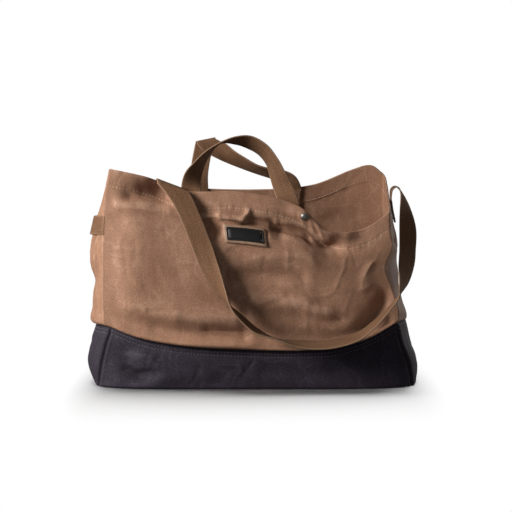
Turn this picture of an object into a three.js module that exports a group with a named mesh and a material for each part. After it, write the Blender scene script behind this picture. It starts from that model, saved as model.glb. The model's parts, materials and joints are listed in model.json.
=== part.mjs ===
// Open-topped log carrier: a waxed-canvas tote sewn to a dark canvas boot, with two webbing grab
// handles, a long webbing shoulder strap, a webbing loop on its left side, a label patch and a snap.
// Millimetres, +Z up. The front faces -Y, and the origin is on the floor under the middle of the base.
import * as THREE from "three";

// Driving dimensions
const CANVAS = 2;
const HEM_CANVAS = 3;
const HEM_SHARE = 0.11;
const SEAM_GAP = 0.5;
const SEAT_GAP = 0.6;
const SEAT_REACH = 3;
const WEBBING_WIDTH = 32;
const WEBBING_THICKNESS = 2.4;
const HANDLE_TAIL = 34;
const STRAP_TAIL = 42;
const LABEL = { u: 0.49, v: 0.735, width: 68, height: 27, tilt: -1, border: 4 };
const LABEL_LAYERS = { thickness: 1.4, lift: 1.6, gap: 0.4 };
const SNAP = { u: 0.695, v: 0.955, radius: 6.5, height: 3.2, lift: 1 };

// Shares of a panel over which its folds fade out at the corner seams and at the boot seam
const CORNER_FADE = 0.1;
const BODY_SEAM_FADE = 0.06;
const BOOT_SEAM_FADE = 0.2;

// How strongly the facets gather at the corners and at the boot seam, and the short step into the hem
const COLUMN_GATHER = 0.45;
const ROW_GATHER = 1.25;
const HEM_STEP = 0.008;

// Plan outline of the bag at each level: 0 is the floor, 1 the seam between boot and body, 2 the rim.
// The corners have x and y, and each wall swells out between its corners by the given amount.
// A higher fullness keeps a wall flat in the middle and turns it quickly at the corners.
const SECTIONS = [
  { level: 0.0, leftFront: -257, rightFront: 258, leftBack: -250, rightBack: 252, front: -116, back: 116,
    frontSwell: 24, backSwell: 24, leftSwell: 9, rightSwell: 11, fullness: 7 },
  { level: 0.35, leftFront: -251, rightFront: 251, leftBack: -250, rightBack: 250, front: -117, back: 117,
    frontSwell: 27, backSwell: 26, leftSwell: 31, rightSwell: 21, fullness: 5 },
  { level: 0.7, leftFront: -243, rightFront: 238, leftBack: -246, rightBack: 246, front: -118, back: 118,
    frontSwell: 26, backSwell: 24, leftSwell: 33, rightSwell: 21, fullness: 4.2 },
  { level: 1.0, leftFront: -236, rightFront: 232, leftBack: -240, rightBack: 240, front: -117, back: 117,
    frontSwell: 24, backSwell: 22, leftSwell: 31, rightSwell: 19, fullness: 3.6 },
  { level: 1.1, leftFront: -246, rightFront: 234, leftBack: -246, rightBack: 240, front: -121, back: 120,
    frontSwell: 26, backSwell: 24, leftSwell: 28, rightSwell: 15, fullness: 3 },
  { level: 1.3, leftFront: -247, rightFront: 223, leftBack: -246, rightBack: 235, front: -119, back: 118,
    frontSwell: 27, backSwell: 24, leftSwell: 28, rightSwell: 17, fullness: 2.6 },
  { level: 1.5, leftFront: -246, rightFront: 214, leftBack: -245, rightBack: 231, front: -117, back: 115,
    frontSwell: 25, backSwell: 21, leftSwell: 34, rightSwell: 21, fullness: 2.5 },
  { level: 1.7, leftFront: -245, rightFront: 223, leftBack: -242, rightBack: 230, front: -112, back: 110,
    frontSwell: 20, backSwell: 16, leftSwell: 26, rightSwell: 14, fullness: 2.4 },
  { level: 1.85, leftFront: -243, rightFront: 221, leftBack: -238, rightBack: 230, front: -108, back: 106,
    frontSwell: 12, backSwell: 10, leftSwell: 15, rightSwell: 8, fullness: 2.2 },
  { level: 2.0, leftFront: -237, rightFront: 220, leftBack: -230, rightBack: 230, front: -103, back: 102,
    frontSwell: 6, backSwell: 5, leftSwell: 5, rightSwell: 4, fullness: 2.2 },
];

// Height of the boot seam and of the rim along each wall: u runs from left to right, or from front to back.
const HEIGHTS = {
  front: [
    { u: 0.0, seam: 98, rim: 355 },
    { u: 0.12, seam: 79.5, rim: 343 },
    { u: 0.27, seam: 68.5, rim: 320 },
    { u: 0.47, seam: 63.5, rim: 318 },
    { u: 0.62, seam: 61.5, rim: 305 },
    { u: 0.69, seam: 62.5, rim: 291 },
    { u: 0.78, seam: 65, rim: 256 },
    { u: 0.9, seam: 81, rim: 257 },
    { u: 1.0, seam: 105, rim: 285 },
  ],
  back: [
    { u: 0.0, seam: 97, rim: 326 },
    { u: 0.2, seam: 84, rim: 318 },
    { u: 0.5, seam: 78, rim: 314 },
    { u: 0.72, seam: 80, rim: 322 },
    { u: 0.88, seam: 90, rim: 350 },
    { u: 0.95, seam: 96, rim: 357 },
    { u: 1.0, seam: 100, rim: 341 },
  ],
  left: [
    { u: 0.0, seam: 98, rim: 355 },
    { u: 0.3, seam: 95, rim: 334 },
    { u: 0.55, seam: 94, rim: 327 },
    { u: 1.0, seam: 97, rim: 326 },
  ],
  right: [
    { u: 0.0, seam: 105, rim: 285 },
    { u: 0.5, seam: 102, rim: 305 },
    { u: 0.85, seam: 100, rim: 334 },
    { u: 1.0, seam: 100, rim: 341 },
  ],
};

// Each wall in plan: the section columns where it starts and ends, and the way it faces.
const WALLS = {
  front: { startX: "leftFront", startY: "front", endX: "rightFront", endY: "front", outX: 0, outY: -1 },
  back: { startX: "leftBack", startY: "back", endX: "rightBack", endY: "back", outX: 0, outY: 1 },
  left: { startX: "leftFront", startY: "front", endX: "leftBack", endY: "back", outX: -1, outY: 0 },
  right: { startX: "rightFront", startY: "front", endX: "rightBack", endY: "back", outX: 1, outY: 0 },
};

// Rolls (positive depth) and dents (negative) of the cloth. Each follows a line across its panel, from
// (u0, v0) to (u1, v1), where v runs from the panel's lower edge to its upper one. Width is in millimetres.
const FOLDS = [
  { panel: "front_panel", u0: 0.05, v0: 0.06, u1: 0.95, v1: 0.06, width: 12, depth: 7 },
  { panel: "front_panel", u0: 0.09, v0: 0.16, u1: 0.48, v1: 0.16, width: 15, depth: -6 },
  { panel: "front_panel", u0: 0.11, v0: 0.88, u1: 0.19, v1: 0.94, width: 20, depth: -12 },
  { panel: "front_panel", u0: 0.32, v0: 0.82, u1: 0.39, v1: 0.74, width: 15, depth: -6 },
  { panel: "front_panel", u0: 0.49, v0: 0.85, u1: 0.6, v1: 0.83, width: 15, depth: -8 },
  { panel: "front_panel", u0: 0.62, v0: 0.82, u1: 0.8, v1: 0.88, width: 15, depth: -11 },
  { panel: "front_panel", u0: 0.7, v0: 1.0, u1: 0.84, v1: 1.0, width: 18, depth: 8 },
  { panel: "front_panel", u0: 0.5, v0: 0.45, u1: 0.75, v1: 0.5, width: 60, depth: -9 },
  { panel: "front_panel", u0: 0.13, v0: 0.35, u1: 0.2, v1: 0.65, width: 45, depth: 5 },
  { panel: "front_panel", u0: 0.9, v0: 0.75, u1: 0.94, v1: 0.45, width: 18, depth: -7 },
  { panel: "back_panel", u0: 0.05, v0: 0.07, u1: 0.95, v1: 0.07, width: 14, depth: 5 },
  { panel: "back_panel", u0: 0.25, v0: 0.72, u1: 0.6, v1: 0.62, width: 32, depth: -8 },
  { panel: "back_panel", u0: 0.55, v0: 0.3, u1: 0.85, v1: 0.4, width: 28, depth: -6 },
  { panel: "left_side_panel", u0: 0.2, v0: 0.31, u1: 0.8, v1: 0.28, width: 16, depth: -5 },
  { panel: "left_side_panel", u0: 0.15, v0: 0.07, u1: 0.85, v1: 0.07, width: 14, depth: 4 },
  { panel: "right_side_panel", u0: 0.2, v0: 0.55, u1: 0.8, v1: 0.4, width: 20, depth: -5 },
  { panel: "right_side_panel", u0: 0.15, v0: 0.07, u1: 0.85, v1: 0.06, width: 14, depth: 5 },
  { panel: "base_front", u0: 0.08, v0: 0.6, u1: 0.15, v1: 0.25, width: 18, depth: -5 },
  { panel: "base_front", u0: 0.86, v0: 0.65, u1: 0.93, v1: 0.35, width: 18, depth: -5 },
  { panel: "base_left", u0: 0.3, v0: 0.35, u1: 0.7, v1: 0.55, width: 22, depth: -4 },
];

// Each wall of cloth: which wall of the outline it is, its levels, rough size and grid of facets.
const PANELS = {
  front_panel: { wall: "front", low: 1, span: 470, tall: 240, columns: 28, rows: 13, colour: "canvas" },
  back_panel: { wall: "back", low: 1, span: 470, tall: 240, columns: 22, rows: 11, colour: "canvas" },
  left_side_panel: { wall: "left", low: 1, span: 232, tall: 240, columns: 14, rows: 11, colour: "canvas" },
  right_side_panel: { wall: "right", low: 1, span: 232, tall: 215, columns: 14, rows: 11, colour: "canvas" },
  base_front: { wall: "front", low: 0, span: 490, tall: 85, columns: 28, rows: 6, colour: "boot" },
  base_back: { wall: "back", low: 0, span: 490, tall: 85, columns: 22, rows: 6, colour: "boot" },
  base_left: { wall: "left", low: 0, span: 235, tall: 95, columns: 14, rows: 6, colour: "boot" },
  base_right: { wall: "right", low: 0, span: 235, tall: 100, columns: 14, rows: 6, colour: "boot" },
};

// Arch of each grab handle above the rim: its middle line and the direction across the webbing.
// The back one is folded over at its top and runs down aslant from there.
const FRONT_ARCH = [
  { x: -101, y: -97, z: 340, ax: -0.81, ay: -0.42, az: 0.41 },
  { x: -91, y: -95, z: 360, ax: -0.48, ay: -0.83, az: 0.29 },
  { x: -77, y: -94, z: 379, ax: -0.2, ay: -0.96, az: 0.19 },
  { x: -56, y: -93, z: 396, ax: -0.01, ay: -1, az: 0.03 },
  { x: -30, y: -92, z: 400, ax: -0.01, ay: -0.91, az: 0.41 },
  { x: -8, y: -92, z: 397, ax: 0.22, ay: -0.74, az: 0.63 },
  { x: 13, y: -93, z: 385, ax: 0.44, ay: -0.74, az: 0.51 },
  { x: 28, y: -94, z: 366, ax: 0.57, ay: -0.74, az: 0.34 },
  { x: 37, y: -95, z: 345, ax: 0.76, ay: -0.56, az: 0.32 },
  { x: 46, y: -97, z: 323, ax: 0.9, ay: -0.24, az: 0.37 },
];
const BACK_ARCH = [
  { x: -99, y: 95, z: 338, ax: -1, ay: 0, az: 0 },
  { x: -96, y: 96.5, z: 362, ax: -0.99, ay: 0, az: -0.1 },
  { x: -91, y: 97.5, z: 387, ax: -0.98, ay: 0, az: -0.2 },
  { x: -88.5, y: 97.2, z: 398, ax: -0.98, ay: 0, az: -0.2 },
  { x: -87, y: 94.5, z: 402, ax: -0.98, ay: 0, az: -0.2 },
  { x: -84, y: 92, z: 398, ax: -0.98, ay: 0, az: -0.2 },
  { x: -76, y: 91, z: 391, ax: -0.9, ay: 0, az: -0.4 },
  { x: -60, y: 90.5, z: 382, ax: -0.63, ay: 0.25, az: -0.74 },
  { x: -42, y: 91, z: 371, ax: -0.45, ay: 0.6, az: -0.66 },
  { x: -22, y: 92, z: 361, ax: -0.32, ay: 0.75, az: -0.57 },
  { x: 2, y: 93, z: 350, ax: -0.18, ay: 0.86, az: -0.48 },
  { x: 27, y: 94, z: 342.5, ax: -0.18, ay: 0.84, az: -0.52 },
  { x: 47, y: 95, z: 338, ax: -0.35, ay: 0.74, az: -0.57 },
  { x: 60, y: 96, z: 330, ax: -0.85, ay: 0.45, az: -0.3 },
];
const HANDLES = [
  { name: "front_handle", wall: "front", leftU: 0.289, rightU: 0.637, arch: FRONT_ARCH },
  { name: "back_handle", wall: "back", leftU: 0.285, rightU: 0.645, arch: BACK_ARCH },
];

// Route of the shoulder strap's middle line between its sewn tails, and the direction across it. Where
// it folds over the front rim, that direction lies along the rim and so crosses the strap at a slant.
const STRAP_ROUTE = [
  { x: -241, y: 0, z: 336, ax: 0, ay: 1, az: 0 },
  { x: -232, y: -4, z: 335, ax: 0.25, ay: 0.97, az: 0 },
  { x: -219, y: -21, z: 326, ax: 0.6, ay: 0.8, az: 0 },
  { x: -198, y: -44, z: 317, ax: 0.78, ay: 0.62, az: -0.05 },
  { x: -173, y: -63, z: 314, ax: 0.87, ay: 0.45, az: -0.18 },
  { x: -154, y: -76, z: 320, ax: 0.92, ay: 0.15, az: -0.3 },
  { x: -146, y: -88, z: 331, ax: 0.93, ay: -0.08, az: -0.34 },
  { x: -141, y: -99, z: 332, ax: 0.92, ay: -0.22, az: -0.33 },
  { x: -134, y: -110, z: 326, ax: 0.94, ay: -0.15, az: -0.27 },
  { x: -125, y: -116.5, z: 316, ax: 0.98, ay: -0.02, az: -0.1 },
  { x: -115, y: -121, z: 301, ax: 0.99, ay: 0, az: 0.1 },
  { x: -104, y: -126, z: 278, ax: 0.98, ay: 0, az: 0.2 },
  { x: -92, y: -133, z: 249, ax: 0.95, ay: 0, az: 0.3 },
  { x: -82, y: -139, z: 224, ax: 0.92, ay: -0.1, az: 0.38 },
  { x: -71, y: -147, z: 195, ax: 0.86, ay: -0.38, az: 0.37 },
  { x: -57, y: -157, z: 166, ax: 0.55, ay: -0.8, az: 0.27 },
  { x: -40, y: -166, z: 139, ax: 0.08, ay: -1, az: 0.05 },
  { x: -20, y: -168, z: 118, ax: -0.12, ay: -1, az: -0.1 },
  { x: 4, y: -169, z: 98, ax: -0.1, ay: -1, az: -0.1 },
  { x: 35, y: -169, z: 85, ax: 0, ay: -1, az: 0.1 },
  { x: 74, y: -167, z: 77, ax: 0, ay: -0.97, az: -0.25 },
  { x: 120, y: -165, z: 77, ax: 0, ay: -0.95, az: -0.32 },
  { x: 164, y: -160, z: 88, ax: -0.03, ay: -0.96, az: -0.28 },
  { x: 192, y: -155, z: 108, ax: -0.06, ay: -0.97, az: -0.22 },
  { x: 219, y: -147, z: 135, ax: -0.1, ay: -0.98, az: -0.1 },
  { x: 233, y: -136, z: 151, ax: -0.15, ay: -0.98, az: 0 },
  { x: 243, y: -112, z: 168, ax: -0.38, ay: -0.92, az: 0 },
  { x: 249.5, y: -84, z: 190, ax: -0.65, ay: -0.76, az: 0 },
  { x: 255, y: -52, z: 216, ax: -0.82, ay: -0.57, az: 0 },
  { x: 258, y: -27, z: 250, ax: -0.92, ay: -0.4, az: 0 },
  { x: 255, y: -9, z: 286, ax: -0.6, ay: -0.8, az: 0 },
  { x: 249, y: -2, z: 312, ax: -0.15, ay: -1, az: 0 },
  { x: 241, y: 0, z: 322, ax: 0, ay: -1, az: 0 },
  { x: 233, y: 0, z: 317, ax: 0, ay: -1, az: 0 },
];

// Side loop: its rows run from front to back across the left wall. Lift is how far its lower edge stands
// off the cloth, and at upright 1 the band stands plumb where the cloth leans in above it.
const LOOP_HEIGHT = 264;
const LOOP_BOW = [
  { u: 0.035, lift: 0, upright: 0 },
  { u: 0.1, lift: 0.2, upright: 0.1 },
  { u: 0.2, lift: 0.6, upright: 0.2 },
  { u: 0.35, lift: 1, upright: 0.3 },
  { u: 0.5, lift: 1.2, upright: 0.4 },
  { u: 0.65, lift: 1, upright: 0.3 },
  { u: 0.8, lift: 0.6, upright: 0.2 },
  { u: 0.9, lift: 0.2, upright: 0.1 },
  { u: 0.965, lift: 0, upright: 0 },
];

const MATERIALS = {
  canvas: new THREE.MeshStandardMaterial({ color: 0x9b7a63, roughness: 0.75, metalness: 0 }),
  boot: new THREE.MeshStandardMaterial({ color: 0x2b272c, roughness: 0.8, metalness: 0 }),
  webbing: new THREE.MeshStandardMaterial({ color: 0x7d6248, roughness: 0.85, metalness: 0 }),
  patch: new THREE.MeshStandardMaterial({ color: 0xb89a80, roughness: 0.7, metalness: 0 }),
  leather: new THREE.MeshStandardMaterial({ color: 0x111214, roughness: 0.5, metalness: 0 }),
  metal: new THREE.MeshStandardMaterial({ color: 0xb9bcc0, roughness: 0.35, metalness: 1 }),
};

const carrier = new THREE.Group();
const facets = {};
const lerp = THREE.MathUtils.lerp;
const smoothstep = THREE.MathUtils.smoothstep;

// Value of one column of a table at a place along its key, on a smooth curve through the rows.
function through(rows, key, column, place) {
  const last = rows.length - 1;
  let i = 0;
  while (i < last - 1 && place > rows[i + 1][key]) {
    i += 1;
  }
  const slope = (a, b) => (rows[b][column] - rows[a][column]) / (rows[b][key] - rows[a][key]);
  const step = rows[i + 1][key] - rows[i][key];
  const t = (place - rows[i][key]) / step;
  const startSlope = slope(Math.max(i - 1, 0), i + 1) * step;
  const endSlope = slope(i, Math.min(i + 2, last)) * step;
  const rise = rows[i + 1][column] - rows[i][column];
  return rows[i][column] + startSlope * t + (3 * rise - 2 * startSlope - endSlope) * t * t
    + (startSlope + endSlope - 2 * rise) * t * t * t;
}

const section = (column, level) => through(SECTIONS, "level", column, level);

// Depth of the folds of a panel at (u, v), which fade out at its sewn edges.
function foldDepth(name, u, v) {
  const { span, tall, low } = PANELS[name];
  let depth = 0;
  for (const fold of FOLDS.filter((row) => row.panel === name)) {
    const from = new THREE.Vector2(fold.u0 * span, fold.v0 * tall);
    const along = new THREE.Vector2(fold.u1 * span, fold.v1 * tall).sub(from);
    const here = new THREE.Vector2(u * span, v * tall).sub(from);
    const share = THREE.MathUtils.clamp(here.dot(along) / along.lengthSq(), 0, 1);
    const away = here.sub(along.multiplyScalar(share)).length();
    depth += fold.depth * Math.exp(-((away / fold.width) ** 2));
  }
  const cornerFade = smoothstep(Math.min(u, 1 - u), 0, CORNER_FADE);
  const bodyFade = smoothstep(v, 0, BODY_SEAM_FADE);
  const bootFade = smoothstep(Math.min(v, 1 - v), 0, BOOT_SEAM_FADE);
  const seamFade = low === 1 ? bodyFade : bootFade;
  return depth * cornerFade * seamFade;
}

// Point of a panel's outer face at (u, v).
function outerPoint(name, u, v) {
  const { wall, low } = PANELS[name];
  const { startX, startY, endX, endY, outX, outY } = WALLS[wall];
  const level = low + v;
  const bow = 1 - Math.abs(2 * u - 1) ** section("fullness", level);
  const swell = bow * section(`${wall}Swell`, level) + foldDepth(name, u, v);
  const seam = through(HEIGHTS[wall], "u", "seam", u);
  const rim = through(HEIGHTS[wall], "u", "rim", u);
  return new THREE.Vector3(
    lerp(section(startX, level), section(endX, level), u) + outX * swell,
    lerp(section(startY, level), section(endY, level), u) + outY * swell,
    low === 0 ? seam * v : lerp(seam + SEAM_GAP, rim, v),
  );
}

// Horizontal direction into the bag at (u, v); at a corner it is the mitre that two walls share.
function inward(name, u, v) {
  const { startX, startY, endX, endY, outX, outY } = WALLS[PANELS[name].wall];
  const probe = 0.005;
  if (u < probe || u > 1 - probe) {
    const cornerX = u < probe ? startX : endX;
    const cornerY = u < probe ? startY : endY;
    return new THREE.Vector3(cornerX.startsWith("left") ? 1 : -1, cornerY === "front" ? 1 : -1, 0);
  }
  const run = outerPoint(name, u + probe, v).sub(outerPoint(name, u - probe, v)).setZ(0).normalize();
  const into = new THREE.Vector3(-run.y, run.x, 0);
  return into.multiplyScalar(-Math.sign(into.x * outX + into.y * outY));
}

// Closed solid from rings of points, each ring joined to the next and the two ends capped.
function loft(rings) {
  const count = rings[0].length;
  const positions = rings.flat().flatMap((point) => [point.x, point.y, point.z]);
  const index = [];
  for (let k = 0; k < rings.length - 1; k += 1) {
    for (let i = 0; i < count; i += 1) {
      const a = k * count + i;
      const b = k * count + ((i + 1) % count);
      index.push(a, b, b + count, a, b + count, a + count);
    }
  }
  const end = (rings.length - 1) * count;
  for (let i = 1; i < count / 2; i += 1) {
    const j = count - 1 - i;
    const quad = [i - 1, i, j, j + 1];
    index.push(quad[2], quad[1], quad[0], quad[3], quad[2], quad[0]);
    const far = quad.map((corner) => corner + end);
    index.push(far[0], far[1], far[2], far[0], far[2], far[3]);
  }
  return facingOut(positions, index);
}

// Indexed geometry whose triangles are turned so that they face out of the solid.
function facingOut(positions, index) {
  const corner = (n) => new THREE.Vector3().fromArray(positions, 3 * n);
  let volume = 0;
  for (let n = 0; n < index.length; n += 3) {
    volume += corner(index[n]).dot(corner(index[n + 1]).cross(corner(index[n + 2])));
  }
  const geometry = new THREE.BufferGeometry();
  geometry.setAttribute("position", new THREE.Float32BufferAttribute(positions, 3));
  geometry.setIndex(volume < 0 ? index.reverse() : index);
  geometry.computeVertexNormals();
  return geometry;
}

function addMesh(name, geometry, material) {
  const mesh = new THREE.Mesh(geometry, material);
  mesh.name = name;
  carrier.add(mesh);
}

// Ring of a cloth sheet: along its outer face and back along its inner one.
const sheetRing = (outer, inner) => [...outer, ...inner.reverse()];

// Steps from 0 to 1 that lie closer together near both ends, where the corners turn.
function spaced(count) {
  return Array.from({ length: count + 1 }, (_, k) => {
    const even = k / count;
    return even - (COLUMN_GATHER * Math.sin(2 * Math.PI * even)) / (2 * Math.PI);
  });
}

// Wall of cloth with its turned-in hem, kept a seam's gap clear of its neighbours.
function addPanel(name) {
  const { low, span, columns, rows, colour } = PANELS[name];
  const clear = SEAM_GAP / 2 / span;
  const us = spaced(columns).map((u) => lerp(clear, 1 - clear, u));
  const hemStart = 1 - HEM_SHARE;
  const top = low === 1 ? hemStart : 1;
  const gather = low === 1 ? ROW_GATHER : 1;
  const levels = Array.from({ length: rows + 1 }, (_, k) => {
    return { v: top * (k / rows) ** gather, wall: CANVAS };
  });
  if (low === 1) {
    levels.push({ v: hemStart + HEM_STEP, wall: HEM_CANVAS });
    levels.push({ v: 1 - HEM_SHARE / 2, wall: HEM_CANVAS });
    levels.push({ v: 1, wall: HEM_CANVAS });
  }
  const outer = us.map((u) => levels.map(({ v }) => outerPoint(name, u, v)));
  facets[name] = { us, vs: levels.map(({ v }) => v), outer };
  const rings = us.map((u, i) => {
    const inner = levels.map(({ v, wall }, j) => {
      return outer[i][j].clone().addScaledVector(inward(name, u, v), wall);
    });
    return sheetRing(outer[i], inner);
  });
  addMesh(name, loft(rings), MATERIALS[colour]);
}

// Point on the facets of a panel's outer face at (u, v).
function onFacets(name, u, v) {
  const { us, vs, outer } = facets[name];
  const cell = (places, place) => {
    const passed = places.filter((start) => start <= place).length;
    const k = THREE.MathUtils.clamp(passed - 1, 0, places.length - 2);
    return [k, (place - places[k]) / (places[k + 1] - places[k])];
  };
  const [i, s] = cell(us, u);
  const [j, t] = cell(vs, v);
  const low = outer[i][j].clone().lerp(outer[i + 1][j], s);
  const high = outer[i][j + 1].clone().lerp(outer[i + 1][j + 1], s);
  return low.lerp(high, t);
}

// Flat floor of the boot, inside the foot of its walls.
function addBottom() {
  const foot = (name, u) => outerPoint(name, u, 0).addScaledVector(inward(name, u, 0), CANVAS + SEAM_GAP);
  const steps = spaced(14).slice(0, -1);
  const walls = [
    { name: "base_front", turn: (u) => u },
    { name: "base_right", turn: (u) => u },
    { name: "base_back", turn: (u) => 1 - u },
    { name: "base_left", turn: (u) => 1 - u },
  ];
  const points = walls.flatMap(({ name, turn }) => steps.map((u) => foot(name, turn(u))));
  const shape = new THREE.Shape(points.map((point) => new THREE.Vector2(point.x, point.y)));
  const geometry = new THREE.ExtrudeGeometry(shape, { depth: CANVAS, bevelEnabled: false });
  addMesh("base_bottom", geometry, MATERIALS.boot);
}

// Band of webbing along a route, given as rows with a middle point and the direction across the band.
function webbing(route, steps) {
  const middle = new THREE.CatmullRomCurve3(route.map((row) => row.at), false, "catmullrom", 0.5);
  const across = new THREE.CatmullRomCurve3(route.map((row) => row.across), false, "catmullrom", 0.5);
  const rings = Array.from({ length: steps + 1 }, (_, k) => {
    const t = k / steps;
    const at = middle.getPoint(t);
    const run = middle.getTangent(t);
    const side = across.getPoint(t).normalize();
    const face = run.clone().cross(side);
    side.setLength(WEBBING_WIDTH / 2 / face.length());
    face.setLength(WEBBING_THICKNESS / 2);
    return [
      at.clone().sub(side).sub(face),
      at.clone().add(side).sub(face),
      at.clone().add(side).add(face),
      at.clone().sub(side).add(face),
    ];
  });
  return loft(rings);
}

// Share of a wall's height above the boot seam, for a distance below its rim.
function shareBelowRim(wall, u, below) {
  return 1 - below / (through(HEIGHTS[wall], "u", "rim", u) - through(HEIGHTS[wall], "u", "seam", u));
}

// Row of a band's route where it is sewn flat to a wall, clear of the cloth over its whole width.
// The distance into the bag is negative for a band on the outside.
function seat(name, u, v, into) {
  const { span, tall } = PANELS[name];
  const half = WEBBING_WIDTH / 2 / span;
  const rise = SEAT_REACH / tall;
  const middle = onFacets(name, u, v);
  const across = onFacets(name, u + half, v).sub(onFacets(name, u - half, v)).setZ(0).normalize();
  const normal = new THREE.Vector3(-across.y, across.x, 0);
  normal.multiplyScalar(Math.sign(normal.dot(inward(name, u, v))));
  const reach = [-1, -0.5, 0, 0.5, 1].flatMap((aside) => [-1, 0, 1].map((above) => {
    return onFacets(name, u + aside * half, v + above * rise).sub(middle).dot(normal);
  }));
  const clear = into > 0 ? Math.max(...reach) : Math.min(...reach);
  return { at: middle.addScaledVector(normal, clear + into), across };
}

// Shares of a sewn tail's length, from its end up to the rim.
const tailSteps = (count) => Array.from({ length: count }, (_, k) => 1 - k / (count - 1));

// Route up one sewn tail, along the loose rows and down the other tail, with no half turn where they meet.
function joinedRoute(first, rows, last) {
  const loose = rows.map(({ x, y, z, ax, ay, az }) => ({
    at: new THREE.Vector3(x, y, z),
    across: new THREE.Vector3(ax, ay, az).normalize(),
  }));
  const turned = (tail, meets) => tail.map(({ at, across }) => ({
    at,
    across: across.multiplyScalar(Math.sign(across.dot(meets.across))),
  }));
  return [...turned(first, loose[0]), ...loose, ...turned(last, loose.at(-1)).reverse()];
}

// Grab handle: up from one tail inside the rim, over the arch and down to the other tail.
function addHandle({ name, wall, leftU, rightU, arch }) {
  const into = HEM_CANVAS + SEAT_GAP + WEBBING_THICKNESS / 2;
  const leg = (u) => tailSteps(8).map((share) => {
    return seat(`${wall}_panel`, u, shareBelowRim(wall, u, share * HANDLE_TAIL), into);
  });
  const route = joinedRoute(leg(leftU), arch, leg(rightU));
  addMesh(name, webbing(route, 2 * (route.length - 1)), MATERIALS.webbing);
}

// Shoulder strap: sewn flat to the outside of both side walls, and loose between its two tails.
function addStrap() {
  const out = SEAT_GAP + WEBBING_THICKNESS / 2;
  const tail = (wall) => tailSteps(5).map((share) => {
    return seat(`${wall}_side_panel`, 0.5, shareBelowRim(wall, 0.5, share * STRAP_TAIL), -out);
  });
  const route = joinedRoute(tail("left"), STRAP_ROUTE, tail("right"));
  addMesh("shoulder_strap", webbing(route, 3 * (route.length - 1)), MATERIALS.webbing);
}

// Loop that runs level across the left wall, sewn flat at both ends and bowed off the cloth between them.
function addSideLoop() {
  const panel = "left_side_panel";
  const route = LOOP_BOW.map(({ u, lift, upright }) => {
    const seam = through(HEIGHTS.left, "u", "seam", u);
    const tall = through(HEIGHTS.left, "u", "rim", u) - seam;
    const v = (LOOP_HEIGHT - seam) / tall;
    const half = WEBBING_WIDTH / 2 / tall;
    const low = outerPoint(panel, u, v - half);
    const high = outerPoint(panel, u, v + half);
    const bulge = Math.max(0, (low.x + high.x) / 2 - outerPoint(panel, u, v).x);
    const out = SEAT_GAP + WEBBING_THICKNESS / 2 + bulge + lift;
    low.x -= out;
    high.x -= out;
    high.lerp(new THREE.Vector3(low.x, low.y, low.z + WEBBING_WIDTH), upright);
    return { at: low.clone().lerp(high, 0.5), across: high.sub(low) };
  });
  addMesh("side_loop", webbing(route, 3 * (route.length - 1)), MATERIALS.webbing);
}

// Thin patch that follows the front panel around the label's centre.
function addPatch(name, width, height, lift, material) {
  const { span, tall } = PANELS.front_panel;
  const tilt = THREE.MathUtils.degToRad(LABEL.tilt);
  const columns = 8;
  const rows = 4;
  const place = (i, j, out) => {
    const across = (i / columns - 0.5) * width;
    const up = (j / rows - 0.5) * height;
    const u = LABEL.u + (across * Math.cos(tilt) - up * Math.sin(tilt)) / span;
    const v = LABEL.v + (across * Math.sin(tilt) + up * Math.cos(tilt)) / tall;
    return onFacets("front_panel", u, v).add(new THREE.Vector3(0, -out, 0));
  };
  const rings = Array.from({ length: columns + 1 }, (_, i) => {
    const face = (out) => Array.from({ length: rows + 1 }, (_, j) => place(i, j, out));
    return sheetRing(face(lift + LABEL_LAYERS.thickness), face(lift));
  });
  addMesh(name, loft(rings), material);
}

function addLabel() {
  const { width, height, border } = LABEL;
  const { thickness, lift, gap } = LABEL_LAYERS;
  addPatch("label_backing", width, height, lift, MATERIALS.patch);
  const faceLift = lift + thickness + gap;
  addPatch("label_face", width - 2 * border, height - 2 * border, faceLift, MATERIALS.leather);
}

// Domed snap cap, set square to the cloth at the rim.
function addSnap() {
  const { u, v, radius, height, lift } = SNAP;
  const profile = [
    new THREE.Vector2(0, 0),
    new THREE.Vector2(radius, 0),
    new THREE.Vector2(radius, height * 0.4),
    new THREE.Vector2(radius * 0.8, height * 0.8),
    new THREE.Vector2(radius * 0.4, height),
    new THREE.Vector2(0, height),
  ];
  const probe = 0.01;
  const right = outerPoint("front_panel", u + probe, v).sub(outerPoint("front_panel", u - probe, v));
  const up = outerPoint("front_panel", u, v + probe).sub(outerPoint("front_panel", u, v - probe));
  const out = right.cross(up).normalize();
  const geometry = new THREE.LatheGeometry(profile, 20);
  const mesh = new THREE.Mesh(geometry, MATERIALS.metal);
  mesh.name = "snap";
  mesh.quaternion.setFromUnitVectors(new THREE.Vector3(0, 1, 0), out);
  mesh.position.copy(outerPoint("front_panel", u, v)).addScaledVector(out, lift);
  carrier.add(mesh);
}

Object.keys(PANELS).forEach(addPanel);
addBottom();
HANDLES.forEach(addHandle);
addStrap();
addSideLoop();
addLabel();
addSnap();

export default carrier;
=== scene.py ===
"""Looks of the canvas log carrier: cloth shells, webbing, stitching, label and snap."""

import json
import math

import bpy
import numpy as np
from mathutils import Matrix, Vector, noise

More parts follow.
